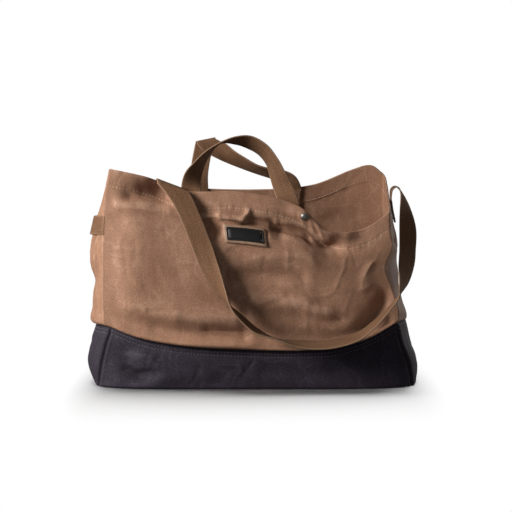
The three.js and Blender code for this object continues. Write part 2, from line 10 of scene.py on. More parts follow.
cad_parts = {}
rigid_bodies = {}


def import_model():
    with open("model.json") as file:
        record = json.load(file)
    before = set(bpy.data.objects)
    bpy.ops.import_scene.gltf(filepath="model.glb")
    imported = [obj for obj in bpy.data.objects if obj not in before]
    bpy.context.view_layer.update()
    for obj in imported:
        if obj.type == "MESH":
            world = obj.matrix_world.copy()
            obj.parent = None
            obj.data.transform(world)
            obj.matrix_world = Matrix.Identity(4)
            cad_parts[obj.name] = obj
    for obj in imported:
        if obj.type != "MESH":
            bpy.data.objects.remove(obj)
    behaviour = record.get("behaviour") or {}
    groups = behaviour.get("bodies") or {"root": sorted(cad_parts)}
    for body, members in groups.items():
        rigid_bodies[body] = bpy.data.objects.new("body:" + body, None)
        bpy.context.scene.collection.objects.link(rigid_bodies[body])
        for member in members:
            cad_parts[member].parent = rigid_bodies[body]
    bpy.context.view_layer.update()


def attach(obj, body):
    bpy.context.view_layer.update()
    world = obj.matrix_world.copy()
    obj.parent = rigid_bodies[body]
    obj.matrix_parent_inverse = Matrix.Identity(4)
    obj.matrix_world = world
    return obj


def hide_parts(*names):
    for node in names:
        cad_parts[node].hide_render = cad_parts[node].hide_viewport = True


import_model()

# Sizes in millimetres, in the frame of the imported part; u and v are shares of a wall's width and height
MM = 0.001
CANVAS = 2.0
HEM_CANVAS = 3.0
HEM = 26.0
SEAT_GAP = 0.8
SEAT_REACH = 3.0
WEBBING_WIDTH = 32.0
WEBBING_THICKNESS = 2.4
HALF_WIDTH = WEBBING_WIDTH / 2
HALF_THICKNESS = WEBBING_THICKNESS / 2
HANDLE_TAIL = 34.0
STRAP_TAIL = 42.0
BOTTOM_ROUNDING = 4.0
LABEL = {"u": 0.49, "v": 0.735, "width": 68.0, "height": 27.0, "tilt": -1.0, "lean": 0.17, "border": 4.0,
         "thickness": 1.4}
SNAP = {"u": 0.695, "v": 0.955, "radius": 6.4, "height": 3.0}

# Shares of a wall over which its folds die out, and the level and rise of the roll over the boot seam
CORNER_FADE = 0.1
BODY_SEAM_FADE = 0.012
BOOT_SEAM_FADE = 0.2
ROLL_LEVEL = 0.1
ROLL_RISE = 0.012


def table(columns, rows):
    """Rows of values as dictionaries with named columns."""
    names = columns.split()
    return [dict(zip(names, row)) for row in rows]


# Plan outline at each level: 0 is the floor, 1 the seam between boot and body, 2 the rim
SECTIONS = table(
    "level leftFront rightFront leftBack rightBack front back"
    " frontSwell backSwell leftSwell rightSwell fullness",
    [
        (0.0, -257, 258, -250, 252, -118, 116, 26, 24, 9, 11, 7),
        (0.35, -251, 251, -250, 250, -117, 117, 27, 26, 31, 21, 5),
        (0.7, -243, 238, -246, 246, -118, 118, 26, 24, 33, 21, 4.2),
        (1.0, -236, 232, -240, 240, -117, 117, 24, 22, 31, 19, 3.6),
        (1.1, -246, 234, -246, 240, -121, 120, 26, 24, 28, 15, 3),
        (1.3, -247, 223, -246, 235, -119, 118, 27, 24, 28, 17, 2.6),
        (1.5, -246, 211, -245, 231, -117, 115, 25, 21, 34, 26, 2.5),
        (1.7, -245, 223, -242, 230, -112, 110, 20, 16, 26, 14, 2.4),
        (1.85, -243, 221, -238, 230, -108, 106, 12, 10, 15, 8, 2.2),
        (2.0, -237, 220, -230, 230, -103, 102, 6, 5, 5, 4, 2.2),
    ],
)

# Height of the boot seam and of the rim along each wall
HEIGHTS = {
    "front": table("u seam rim", [
        (0.0, 98, 355), (0.12, 79.5, 343), (0.27, 68.5, 320), (0.47, 63.5, 318), (0.62, 61.5, 305),
        (0.69, 62.5, 291), (0.78, 65, 256), (0.9, 81, 257), (1.0, 105, 285),
    ]),
    "back": table("u seam rim", [
        (0.0, 97, 326), (0.2, 84, 318), (0.5, 78, 314), (0.72, 80, 322),
        (0.88, 90, 350), (0.95, 96, 357), (1.0, 100, 341),
    ]),
    "left": table("u seam rim", [(0.0, 98, 355), (0.3, 95, 334), (0.55, 94, 327), (1.0, 97, 326)]),
    "right": table("u seam rim", [(0.0, 105, 285), (0.5, 102, 305), (0.85, 100, 334), (1.0, 100, 341)]),
}

# Each wall: the section columns where it starts and ends, the way it faces, and its rough width and height
WALLS = {
    "front": {"start": ("leftFront", "front"), "end": ("rightFront", "front"), "out": (0, -1), "span": 470},
    "right": {"start": ("rightFront", "front"), "end": ("rightBack", "back"), "out": (1, 0), "span": 232},
    "back": {"start": ("leftBack", "back"), "end": ("rightBack", "back"), "out": (0, 1), "span": 470},
    "left": {"start": ("leftFront", "front"), "end": ("leftBack", "back"), "out": (-1, 0), "span": 232},
}
TALL = {
    "body": {"front": 240, "right": 215, "back": 240, "left": 240},
    "boot": {"front": 85, "right": 100, "back": 85, "left": 95},
}


def folds(groups):
    """Folds of each wall, along lines from (u0, v0) to (u1, v1); sharp and lean are 0 where left out."""
    columns = "u0 v0 u1 v1 width depth sharp lean"
    return {key: table(columns, [(*row, 0, 0) for row in rows]) for key, rows in groups.items()}


# Main rolls and dents of the cloth
MAIN_FOLDS = folds({
    ("body", "front"): [
        (0.05, 0.035, 0.95, 0.035, 11, 7), (0.04, 0.055, 0.47, 0.085, 14, -2, 0, 0.3),
        (0.11, 0.06, 0.47, 0.085, 14, -2.5, 0, 0.4), (0.19, 0.064, 0.47, 0.085, 13, -3.5, 0, 0.4),
        (0.09, 0.865, 0.2, 0.925, 13, -8, 0, 0.4), (0.205, 0.945, 0.213, 1.0, 24, -15, 0, 0.35),
        (0.32, 0.82, 0.39, 0.74, 15, -6), (0.5, 0.815, 0.6, 0.8, 13, -8),
        (0.62, 0.79, 0.8, 0.86, 15, -14, 0, 0.2), (0.7, 1.0, 0.84, 1.0, 18, 8),
        (0.5, 0.45, 0.75, 0.5, 60, -9), (0.09, 0.35, 0.12, 0.68, 36, 6), (0.77, 0.65, 0.8, 0.35, 60, 6),
    ],
    ("body", "back"): [
        (0.05, 0.04, 0.95, 0.04, 13, 5), (0.25, 0.72, 0.6, 0.62, 32, -8), (0.55, 0.3, 0.85, 0.4, 28, -6),
    ],
    ("body", "left"): [
        (0.2, 0.31, 0.8, 0.28, 16, -5), (0.15, 0.04, 0.85, 0.04, 13, 4),
    ],
    ("body", "right"): [
        (0.2, 0.55, 0.8, 0.4, 20, -5), (0.15, 0.04, 0.85, 0.035, 13, 5),
    ],
    ("boot", "front"): [
        (0.08, 0.6, 0.15, 0.25, 18, -5), (0.86, 0.65, 0.93, 0.35, 18, -5),
    ],
    ("boot", "left"): [
        (0.3, 0.35, 0.7, 0.55, 22, -4),
    ],
})

# Smaller folds and creases: a sharp one has a cusp, and lean makes the right-hand side of its line steeper
FINE_FOLDS = folds({
    ("body", "front"): [
        (0.03, 1.02, 0.12, 1.01, 14, 4), (0.15, 1.02, 0.23, 1.0, 12, 4), (0.05, 0.8, 0.22, 0.86, 8, 4),
        (0.13, 0.915, 0.168, 0.932, 11, -5, 0, 0.2), (0.33, 0.905, 0.375, 0.865, 8, -4),
        (0.335, 0.84, 0.395, 0.848, 5, 3.5, 0.2, 0.5), (0.365, 0.8, 0.4, 0.755, 10, -4),
        (0.405, 0.832, 0.483, 0.824, 4.5, 6, 0, 0.6), (0.485, 0.82, 0.503, 0.88, 4.5, 5, 0, 0.6),
        (0.515, 0.825, 0.58, 0.832, 8, -6), (0.59, 0.79, 0.71, 0.8, 6, -7, 0.3, 0.3),
        (0.71, 0.8, 0.79, 0.87, 6, -7, 0.3, 0.3), (0.6, 0.84, 0.78, 0.915, 6, 4, 0, 0.4),
        (0.66, 0.95, 0.79, 0.99, 10, 3), (0.56, 0.9, 0.58, 0.98, 38, 5),
        (0.68, 0.945, 0.695, 0.89, 4, 1.3, 0.2), (0.713, 0.95, 0.728, 0.905, 4, 1.5, 0.2),
        (0.743, 0.973, 0.758, 0.923, 4, 1.5, 0.2), (0.45, 0.475, 0.7, 0.53, 11, -5),
        (0.53, 0.6, 0.72, 0.68, 9, 1.8), (0.5, 0.25, 0.8, 0.24, 13, -4),
        (0.925, 0.64, 0.93, 0.45, 10, 2.5), (0.9, 0.12, 0.985, 0.27, 15, -9, 0, 0.3),
        (0.36, 0.11, 0.47, 0.09, 9, -3), (0.1, 0.2, 0.24, 0.21, 14, 4), (0.27, 0.2, 0.45, 0.2, 14, 4),
        (0.55, 0.1, 0.95, 0.05, 26, -8), (0.54, 0.35, 0.77, 0.335, 17, 5, 0, -0.3),
        (0.005, 0.47, 0.085, 0.49, 2.5, 0.8, 1),
    ],
    ("body", "left"): [
        (0.1, 0.62, 0.35, 0.5, 8, -2.5, 0.3), (0.5, 0.5, 0.85, 0.58, 9, 2.5, 0.2),
        (0.3, 0.15, 0.75, 0.2, 9, -3, 0.2),
    ],
    ("body", "right"): [
        (0.1, 0.72, 0.45, 0.6, 9, -3, 0.2), (0.35, 0.28, 0.8, 0.2, 9, -3, 0.2),
    ],
    ("body", "back"): [
        (0.1, 0.55, 0.35, 0.45, 12, -3, 0.2), (0.6, 0.75, 0.9, 0.66, 12, 3, 0.1),
        (0.2, 0.2, 0.6, 0.16, 10, -3, 0.1),
    ],
    ("boot", "front"): [
        (0.085, 0.36, 0.125, 0.29, 9, -2.5, 0, -0.3), (0.125, 0.29, 0.165, 0.36, 9, -2.2, 0, -0.3),
        (0.1, 0.62, 0.16, 0.55, 14, 3), (0.2, 0.3, 0.35, 0.4, 16, 2), (0.55, 0.55, 0.75, 0.4, 16, -2),
    ],
    ("boot", "right"): [
        (0.2, 0.7, 0.45, 0.25, 10, -3, 0.3),
    ],
    ("boot", "left"): [
        (0.25, 0.7, 0.5, 0.3, 11, -2.5, 0.2),
    ],
    ("boot", "back"): [
        (0.3, 0.5, 0.7, 0.45, 16, -2.5),
    ],
})

# Routes of the webbing: points along it, and the direction across it at each
ROUTE_COLUMNS = "x y z ax ay az"
FRONT_ARCH = table(ROUTE_COLUMNS, [
    (-101, -97, 340, -0.81, -0.42, 0.41), (-91, -95, 360, -0.48, -0.83, 0.29),
    (-77, -94, 379, -0.20, -0.96, 0.19), (-56, -93, 396, -0.01, -1.00, 0.03),
    (-30, -92, 400, -0.01, -0.91, 0.41), (-8, -92, 397, 0.22, -0.74, 0.63),
    (13, -93, 385, 0.44, -0.74, 0.51), (28, -94, 366, 0.57, -0.74, 0.34),
    (37, -95, 345, 0.76, -0.56, 0.32), (46, -97, 323, 0.90, -0.24, 0.37),
])
BACK_ARCH = table(ROUTE_COLUMNS, [
    (-99, 95, 338, -1, 0, 0), (-96, 96.5, 362, -0.99, 0, -0.1), (-91, 97.5, 387, -0.98, 0, -0.2),
    (-88.5, 97.2, 398, -0.98, 0, -0.2), (-87, 94.5, 402, -0.98, 0, -0.2), (-84, 92, 398, -0.98, 0, -0.2),
    (-76, 91, 391, -0.9, 0, -0.4), (-60, 90.5, 382, -0.63, 0.25, -0.74),
    (-42, 91, 371, -0.45, 0.6, -0.66), (-22, 92, 361, -0.32, 0.75, -0.57),
    (2, 93, 350, -0.18, 0.86, -0.48), (27, 94, 342.5, -0.18, 0.84, -0.52),
    (47, 95, 338, -0.35, 0.74, -0.57), (60, 96, 330, -0.85, 0.45, -0.3),
])
HANDLES = table("name wall left right arch", [
    ("front_handle", "front", 0.289, 0.637, FRONT_ARCH),
    ("back_handle", "back", 0.285, 0.645, BACK_ARCH),
])
STRAP_ROUTE = table(ROUTE_COLUMNS, [
    (-241, 0, 336, 0, 1, 0), (-232, -4, 335, 0.25, 0.97, 0), (-219, -21, 326, 0.6, 0.8, 0),
    (-198, -44, 317, 0.78, 0.62, -0.05), (-173, -63, 314, 0.87, 0.45, -0.18),
    (-154, -76, 320, 0.92, 0.15, -0.3), (-146, -88, 330, 0.93, -0.08, -0.34),
    (-141, -99, 331, 0.92, -0.22, -0.33), (-134, -110, 326, 0.94, -0.15, -0.27),
    (-125, -116.5, 316, 0.98, -0.02, -0.1), (-115, -121, 301, 0.99, 0, 0.1),
    (-104, -126, 278, 0.98, 0, 0.2), (-92, -133, 249, 0.95, 0, 0.3), (-82, -139, 224, 0.92, -0.1, 0.38),
    (-71, -147, 195, 0.86, -0.38, 0.37), (-57, -157, 166, 0.55, -0.8, 0.27),
    (-40, -166, 139, 0.08, -1, 0.05), (-20, -168, 118, -0.12, -1, -0.1), (4, -169, 98, -0.1, -1, -0.1),
    (35, -169, 85, 0, -1, 0.1), (74, -167, 77, 0, -0.97, -0.25), (120, -165, 77, 0, -0.95, -0.32),
    (164, -160, 88, -0.03, -0.96, -0.28), (192, -155, 108, -0.06, -0.97, -0.22),
    (219, -147, 135, -0.1, -0.98, -0.1), (233, -136, 151, -0.15, -0.98, 0),
    (243, -112, 168, -0.38, -0.92, 0), (249.5, -84, 190, -0.65, -0.76, 0),
    (255, -52, 216, -0.82, -0.57, 0), (258, -27, 250, -0.92, -0.4, 0), (255, -9, 286, -0.6, -0.8, 0),
    (249, -2, 312, -0.15, -1, 0), (241, 0, 322, 0, -1, 0), (233, 0, 317, 0, -1, 0),
])
LOOP_HEIGHT = 264.0
LOOP_HALF = table("u lift upright sag", [
    (0.0, -4, 0, 0), (0.025, -1.2, 0, 0), (0.06, 0, 0, 0), (0.1, 0.2, 0.05, 0.5), (0.2, 0.4, 0.15, 2),
    (0.35, 0.6, 0.25, 4.5), (0.5, 0.8, 0.3, 5.5),
])
LOOP_BOW = LOOP_HALF + [dict(row, u=1 - row["u"]) for row in LOOP_HALF[-2::-1]]

# Short creases that the waxed cloth keeps from use, drawn from a seeded generator
CREASE_COUNTS = {("body", "front"): 46, ("body", "back"): 46, ("body", "left"): 26, ("body", "right"): 26,
                 ("boot", "front"): 16, ("boot", "back"): 16, ("boot", "left"): 9, ("boot", "right"): 9}


def worn_creases():
    rng = np.random.default_rng(7)
    groups = {}
    for (part, wall), count in CREASE_COUNTS.items():
        size = np.array([WALLS[wall]["span"], TALL[part][wall]])
        rows = []
        for _ in range(count):
            middle = np.array([rng.uniform(0.06, 0.94), rng.uniform(0.2, 0.88)])
            angle = rng.normal(0, 0.55) + rng.choice([0, 0, math.pi / 2])
            half = rng.uniform(7, 30) * np.array([math.cos(angle), math.sin(angle)]) / size
            depth = rng.uniform(0.3, 0.9) * rng.choice([-1, 1])
            width, sharp = rng.uniform(2.5, 6), rng.uniform(0.2, 0.8)
            rows.append((*(middle - half), *(middle + half), width, depth, sharp))
        groups[part, wall] = rows
    return folds(groups)


CREASES = worn_creases()


# Shape of the walls
def through(keys, values, place):
    """Values at places along the keys, on a smooth curve through them."""
    keys, values = np.asarray(keys, float), np.asarray(values, float)
    last = len(keys) - 1
    i = np.clip(np.searchsorted(keys, place) - 1, 0, last - 1)
    before = np.maximum(i - 1, 0)
    after = np.minimum(i + 2, last)
    step = keys[i + 1] - keys[i]
    t = (place - keys[i]) / step
    start = (values[i + 1] - values[before]) / (keys[i + 1] - keys[before]) * step
    end = (values[after] - values[i]) / (keys[after] - keys[i]) * step
    rise = values[i + 1] - values[i]
    return values[i] + start * t + (3 * rise - 2 * start - end) * t**2 + (start + end - 2 * rise) * t**3


def column_at(rows, key, column, place):
    """Value of a column of a table, at places along its key."""
    return through([row[key] for row in rows], [row[column] for row in rows], place)


def curve_at(rows, t):
    """Points of a smooth curve through rows of points, at places counted in rows."""
    return np.stack([through(np.arange(len(rows)), axis, t) for axis in rows.T], axis=-1)


def heights(wall, u):
    """Heights of the boot seam and of the rim at places along a wall."""
    return [column_at(HEIGHTS[wall], "u", column, u) for column in ("seam", "rim")]


def smoothstep(x, low, high):
    t = np.clip((x - low) / (high - low), 0, 1)
    return t * t * (3 - 2 * t)


def unit(vectors):
    return vectors / np.linalg.norm(vectors, axis=-1, keepdims=True)


def fold_depth(groups, part, wall, u, v):
    """Sum of the folds of one wall at (u, v), with places in millimetres as complex numbers."""
    span, tall = WALLS[wall]["span"], TALL[part][wall]
    depth = np.zeros_like(u)
    for fold in groups.get((part, wall), []):
        run = complex((fold["u1"] - fold["u0"]) * span, (fold["v1"] - fold["v0"]) * tall)
        here = (u - fold["u0"]) * span + 1j * (v - fold["v0"]) * tall
        away = here - np.clip((here / run).real, 0, 1) * run
        side = (away / run).imag * abs(run) / np.maximum(np.abs(away), 1e-6)
        reach = np.abs(away) / (fold["width"] * (1 + fold["lean"] * side))
        shape = (1 - fold["sharp"]) * np.exp(-reach**2) + fold["sharp"] * np.exp(-1.6 * reach)
        depth += fold["depth"] * shape
    return depth


def fade(part, u, v):
    """Folds die out at the sewn edges of a wall."""
    corner = smoothstep(np.minimum(u, 1 - u), 0, CORNER_FADE)
    if part == "body":
        return corner * smoothstep(v, 0, BODY_SEAM_FADE)
    return corner * smoothstep(np.minimum(v, 1 - v), 0, BOOT_SEAM_FADE)


def wall_points(part, wall, u, v, relief):
    """Points of a wall's outer face, in millimetres, with a relief added along the way it faces."""
    facts = WALLS[wall]
    level = 1 + np.maximum(v, ROLL_LEVEL * (1 - np.exp(-v / ROLL_RISE))) if part == "body" else v
    section = {name: column_at(SECTIONS, "level", name, level) for name in SECTIONS[0]}
    bow = 1 - np.abs(2 * u - 1) ** section["fullness"]
    main = fold_depth(MAIN_FOLDS, part, wall, u, v) * fade(part, u, v)
    swell = bow * section[wall + "Swell"] + main + relief
    x, y = (section[start] * (1 - u) + section[end] * u + out * swell
            for start, end, out in zip(facts["start"], facts["end"], facts["out"]))
    seam, rim = heights(wall, u)
    z = seam * v if part == "boot" else seam + (rim - seam) * v
    return np.stack([x, y, z], axis=-1)


# Fine relief of the cloth, in millimetres: soft facets, puckered hem, sewn grooves, and corners worn paler on
# the body and darkened by painted shade in the boot's grooves
SEAM_GROOVE = {"body": 1.8, "boot": 1.5}
SEAM_WIDTH = {"body": 1.6, "boot": 2.2}
SEAM_CALM = {"body": 9, "boot": 12}
HEM_GROOVE = 0.5
HEM_PUCKER = 0.6
HEM_SWELL = 0.35
HEM_WIDTHS = (3, 9)
PUCKER_SCALE = 7
PUCKER_SEED = 60
TOPSTITCH = (5.0, 10.5)
TOPSTITCH_GROOVE = 0.35
TOPSTITCH_WIDTH = 1.2
EDGE_CALM = 18
FOOT_CALM = (2, 14)
LABEL_CALM = 6.0
WALL_SEEDS = {"front": 3, "right": 17, "back": 31, "left": 47}
BLUR_PASSES = 10
CORNER_RELIEF = {"body": 0.9, "boot": -4.5}
CORNER_WIDTH = 1.9
CORNER_LIPS = {"body": 0.0, "boot": 0.8}
LIP_PLACE = 6
LIP_WIDTH = 2.5
# Corners are worn paler on the body; on the boot, painted shade darkens the corner groove
CORNER_WEAR_AND_SHADE = {"body": 0.45, "boot": -0.8}
WEAR_AND_SHADE_WIDTH = 2.2
CORNER_TOP = {"body": 0.8, "boot": 1.0}

# Layers of facets: stretch across, size, seed and height, which is negative where thin ridges part them
FACETS = ((1.7, 75, 0, -1.1), (1.5, 38, 5, 0.6), (1.3, 16, 9, 0.35))
FACET_MEAN = 0.25


def smooth_noise(x, y, scale, seed):
    """Smooth noise over the cloth, about from -1 to 1."""
    flat = [noise.noise(Vector((a / scale, b / scale, seed))) for a, b in zip(np.ravel(x), np.ravel(y))]
    return np.reshape(flat, np.shape(x))


def crumple(x, y, seed):
    """Shallow facets, longer across than up, with thin ridges and valleys between them."""
    return sum(height * (np.abs(smooth_noise(x / stretch, y, size, seed + shift)) - FACET_MEAN)
               for stretch, size, shift, height in FACETS)


def bump_at(x, middle, width):
    return np.exp(-(((x - middle) / width) ** 2))


def blurred(grid):
    """Grid smoothed along both ways, so that what stands out from it is a crest or a hollow."""
    for _ in range(BLUR_PASSES):
        for axis in (0, 1):
            padded = np.pad(grid, [(1, 1) if k == axis else (0, 0) for k in (0, 1)], mode="edge")
            count = grid.shape[axis]
            grid = sum(np.take(padded, np.arange(k, k + count), axis) for k in range(3)) / 3
    return grid


def relief(part, wall, u, v):
    """Depth of the fine relief of a wall at (u, v), and its crests and hollows there, which the cloth shows
    as paler wear and as painted shade.
    """
    span, seed = WALLS[wall]["span"], WALL_SEEDS[wall]
    seam, rim = heights(wall, u)
    tall = rim - seam if part == "body" else seam
    x, y = u * span, v * tall
    below_top = (1 - v) * tall
    calm = smoothstep(np.minimum(u, 1 - u) * span, 0, EDGE_CALM)
    if (part, wall) == ("body", "front"):
        aside = np.abs(u - LABEL["u"]) * span - LABEL["width"] / 2
        above = np.abs(v - LABEL["v"]) * TALL[part][wall] - LABEL["height"] / 2
        calm = calm * smoothstep(np.maximum(aside, above), 0, LABEL_CALM)
    fine = fold_depth(FINE_FOLDS, part, wall, u, v) + fold_depth(CREASES, part, wall, u, v)
    fine = (fine + crumple(x, y, seed)) * calm
    from_seam = y if part == "body" else below_top
    fine = fine * smoothstep(from_seam, 0, SEAM_CALM[part])
    sewn = -SEAM_GROOVE[part] * bump_at(from_seam, 0, SEAM_WIDTH[part])
    if part == "body":
        pucker = smooth_noise(x, 0 * y, PUCKER_SCALE, PUCKER_SEED + seed)
        line, swell = (bump_at(below_top, HEM, width) for width in HEM_WIDTHS)
        sewn = sewn + (HEM_PUCKER * pucker - HEM_GROOVE) * line + HEM_SWELL * pucker * swell
    else:
        fine = fine * smoothstep(y, *FOOT_CALM)
        rows = sum(bump_at(below_top, row, TOPSTITCH_WIDTH) for row in TOPSTITCH)
        sewn = sewn - TOPSTITCH_GROOVE * rows
        sunk = np.clip(BOTTOM_ROUNDING - y, 0, BOTTOM_ROUNDING)
        sewn = sewn - (BOTTOM_ROUNDING - np.sqrt(BOTTOM_ROUNDING**2 - sunk**2))
    return fine + sewn, fine - blurred(fine)


# Fine grids of the outer faces, as rings of columns around the bag
STEPS = {"front": 1.8, "right": 3.4, "back": 3.8, "left": 3.4}
CORNER_ZONE = 12.0
CORNER_STEPS = 10
CORNER_EASED = 4.0
CORNER_PASSES = 8
CORNER_END = 0.1
RING = (("front", 1), ("right", 1), ("back", -1), ("left", -1))
sheets = {}


def wall_us(wall):
    """Steps across a wall, closer together where the corners turn."""
    span = WALLS[wall]["span"]
    zone = CORNER_ZONE / span
    flat = round((span - 2 * CORNER_ZONE) / STEPS[wall])
    return np.concatenate([
        np.linspace(0, zone, CORNER_STEPS, endpoint=False),
        np.linspace(zone, 1 - zone, flat, endpoint=False),
        np.linspace(1 - zone, 1, CORNER_STEPS + 1),
    ])


def normals_of(points):
    """Outward unit normals of a ring of columns."""
    along = np.roll(points, -1, axis=0) - np.roll(points, 1, axis=0)
    return unit(np.cross(along, np.gradient(points, axis=1)))


def make_sheet(part, vs):
    """Outer face of the body or the boot: points, and wear with painted shade, for every column of the ring
    and row of v.
    """
    grids, wear_and_painted_light, edges, walls = [], [], [], {}
    start = 0
    for wall, turn in RING:
        us = wall_us(wall)
        u, v = np.meshgrid(us[::turn], vs, indexing="ij")
        depth, worn_and_shaded = relief(part, wall, u, v)
        grids.append(wall_points(part, wall, u, v, depth))
        wear_and_painted_light.append(worn_and_shaded[:-1])
        edges.append(np.minimum(u, 1 - u)[:-1, 0] * WALLS[wall]["span"])
        walls[wall] = (np.arange(start, start + len(us))[::turn], us)
        start += len(us) - 1
    for grid, after in zip(grids, grids[1:] + grids[:1]):
        corner = (grid[-1] + after[0]) / 2
        grid[-1] = corner
        after[0] = corner
    points = np.concatenate([grid[:-1] for grid in grids])
    edge = np.concatenate(edges)
    weight = smoothstep(-edge, -CORNER_ZONE, -CORNER_EASED)[:, None, None]
    for _ in range(CORNER_PASSES):
        eased = 0.5 * points + 0.25 * (np.roll(points, 1, axis=0) + np.roll(points, -1, axis=0))
        points = points + weight * (eased - points)
    raised = CORNER_RELIEF[part] * bump_at(edge, 0, CORNER_WIDTH)
    raised = raised + CORNER_LIPS[part] * bump_at(edge, LIP_PLACE, LIP_WIDTH)
    below = 1 - smoothstep(vs, CORNER_TOP[part] - CORNER_END, CORNER_TOP[part])
    points = points + normals_of(points) * (raised[:, None] * below)[..., None]
    points[..., 2] = np.maximum(points[..., 2], 0)
    # Painted shade in the boot's corner grooves, and paler rubbed corners on the body
    rubbed_and_shaded = CORNER_WEAR_AND_SHADE[part] * bump_at(edge, 0, WEAR_AND_SHADE_WIDTH)[:, None] * below
    sheets[part] = {
        "points": points,
        "normals": normals_of(points),
        "wear_and_painted_light": np.concatenate(wear_and_painted_light) + rubbed_and_shaded,
        "vs": vs,
        "walls": {wall: (columns % len(points), us) for wall, (columns, us) in walls.items()},
    }


def on_sheet(part, wall, u, v, layer="points"):
    """Place on a fine grid at (u, v), between its four nearest points."""
    sheet = sheets[part]
    columns, us = sheet["walls"][wall]
    vs, grid = sheet["vs"], sheet[layer]
    u, v = np.broadcast_arrays(np.asarray(u, float), np.asarray(v, float))
    i = np.clip(np.searchsorted(us, u) - 1, 0, len(us) - 2)
    j = np.clip(np.searchsorted(vs, v) - 1, 0, len(vs) - 2)
    s = ((u - us[i]) / (us[i + 1] - us[i]))[..., None]
    t = ((v - vs[j]) / (vs[j + 1] - vs[j]))[..., None]
    low, high = (grid[columns[i], row] * (1 - s) + grid[columns[i + 1], row] * s for row in (j, j + 1))
    return low * (1 - t) + high * t


# Meshes
def make_mesh(name, verts, faces, uvs=None, wear_and_painted_light=None):
    """Smooth mesh from points in millimetres, with one UV, in metres, for each corner of each face."""
    mesh = bpy.data.meshes.new(name)
    mesh.from_pydata((np.asarray(verts) * MM).tolist(), [], faces)
    mesh.polygons.foreach_set("use_smooth", np.ones(len(mesh.polygons), bool))
    if uvs is not None:
        layer = mesh.uv_layers.new(name="UVMap")
        layer.data.foreach_set("uv", np.asarray(uvs, np.float32).ravel())
    if wear_and_painted_light is not None:
        attribute = mesh.attributes.new("wear_and_painted_light", "FLOAT", "POINT")
        attribute.data.foreach_set("value", np.asarray(wear_and_painted_light, np.float32).ravel())
    mesh.update()
    piece = bpy.data.objects.new(name, mesh)
    bpy.context.scene.collection.objects.link(piece)
    return piece


def grid_faces(columns, rows, wrap_columns, wrap_rows):
    """Quads of a grid whose point (column, row) has the index column * rows + row, and their places in it."""
    last_column = columns if wrap_columns else columns - 1
    last_row = rows if wrap_rows else rows - 1
    c, r = (axis.ravel() for axis in np.meshgrid(np.arange(last_column), np.arange(last_row), indexing="ij"))
    around = ((0, 0), (1, 0), (1, 1), (0, 1))
    places = np.stack([np.stack([c + over, r + up], axis=1) for over, up in around], axis=1)
    return places[..., 0] % columns * rows + places[..., 1] % rows, places


def tube_faces(rings, count):
    """Faces of a tube of rings of points, with both ends closed, and the places of its quads."""
    corners, places = grid_faces(rings, count, False, True)
    end = np.arange(count)
    return [*corners.tolist(), end.tolist(), (end[::-1] + (rings - 1) * count).tolist()], places


def grid_uvs(places, along, up):
    """UVs of the corners of a grid's quads, from the distances along its columns and up its rows."""
    return np.stack([along[places[..., 0]], up[places[..., 1]]], axis=-1)


def running_length(points, closed=False):
    """Distance along a row of points from its first one, and on back to it where the row is closed."""
    if closed:
        points = np.concatenate([points, points[:1]])
    steps = np.linalg.norm(np.diff(points, axis=0), axis=-1)
    return np.concatenate([[0], np.cumsum(steps)])


def spokes(count, side, up):
    """Directions once around, from the side towards the way up."""
    turns = 2 * math.pi * np.arange(count) / count
    return np.outer(np.cos(turns), side) + np.outer(np.sin(turns), up)


def finish_piece(piece, material, slot, *nodes):
    """A finished piece of the bag rides on it, and stands for the CAD nodes named."""
    piece.data.materials.append(material)
    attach(piece, "root")
    if nodes:
        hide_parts(*nodes)
    return piece


# Cloth shells: rows of points up the outer face, over the rim or the seam, and down the inner face
ROLL_TOP = 0.05
RIM_TURNS = np.radians([30, 60, 90, 120, 150])
RIM_WEAR = 0.5
HEM_ROWS = 16
BOOT_FOOT = np.array([0, 0.004, 0.012, 0.024, 0.04, 0.06, 0.085, 0.115, 0.15])
TOPSTITCHED = 0.86
FLOOR_SHARES = np.linspace(0.06, 1, 12, endpoint=False)
INNER_FLOOR = np.array([0.985, 0.97, 0])
LEVEL = np.array([1, 1, 0])
ON_FLOOR = np.array([0, 0, CANVAS])


def add_body(material):
    """Tan body: outer face, rounded rim and inner face with its turned hem, as one closed shell."""
    rise = np.concatenate([np.linspace(0, ROLL_TOP, 9, endpoint=False), np.linspace(ROLL_TOP, 1, 112)])
    make_sheet("body", rise)
    sheet = sheets["body"]
    outer, normals = sheet["points"], sheet["normals"]
    outer[..., 2] -= HEM_CANVAS / 2 * rise
    height = np.linalg.norm(outer[:, -1] - outer[:, 0], axis=-1)[:, None]
    doubled = 1 - smoothstep((1 - rise) * height, HEM - 1, HEM + 1)
    inner = outer - normals * (CANVAS + (HEM_CANVAS - CANVAS) * doubled)[..., None]
    sheet["inner"] = inner
    top, inner_top = outer[:, -1], inner[:, -1]
    middle, across = (top + inner_top) / 2, (top - inner_top) / 2
    up = unit(np.array([0, 0, 1.0]) - normals[:, -1] * normals[:, -1, 2:]) * (HEM_CANVAS / 2)
    arc = np.stack([middle + across * math.cos(turn) + up * math.sin(turn) for turn in RIM_TURNS], axis=1)
    last = len(rise) - 1
    hem = len(rise) - HEM_ROWS
    inner_rows = np.concatenate([np.arange(0, hem, 6), np.arange(hem, len(rise), 2), [last]])[::-1]
    points = np.concatenate([outer, arc, inner[:, inner_rows]], axis=1)
    worn_rim = np.repeat(sheet["wear_and_painted_light"][:, -1:] + RIM_WEAR, len(RIM_TURNS), axis=1)
    wear_and_painted_light = np.concatenate([sheet["wear_and_painted_light"], worn_rim, sheet["wear_and_painted_light"][:, inner_rows]], axis=1)
    columns, rows = points.shape[:2]
    corners, places = grid_faces(columns, rows, True, True)
    along = running_length(points[:, len(rise) // 2], closed=True)
    up_row = running_length(points[columns // 6], closed=True)
    uvs = grid_uvs(places, along, up_row) * MM
    piece = make_mesh("canvas_body", points.reshape(-1, 3), corners.tolist(), uvs, wear_and_painted_light)
    nodes = ["front_panel", "back_panel", "left_side_panel", "right_side_panel"]
    return finish_piece(piece, material, "canvas", *nodes)


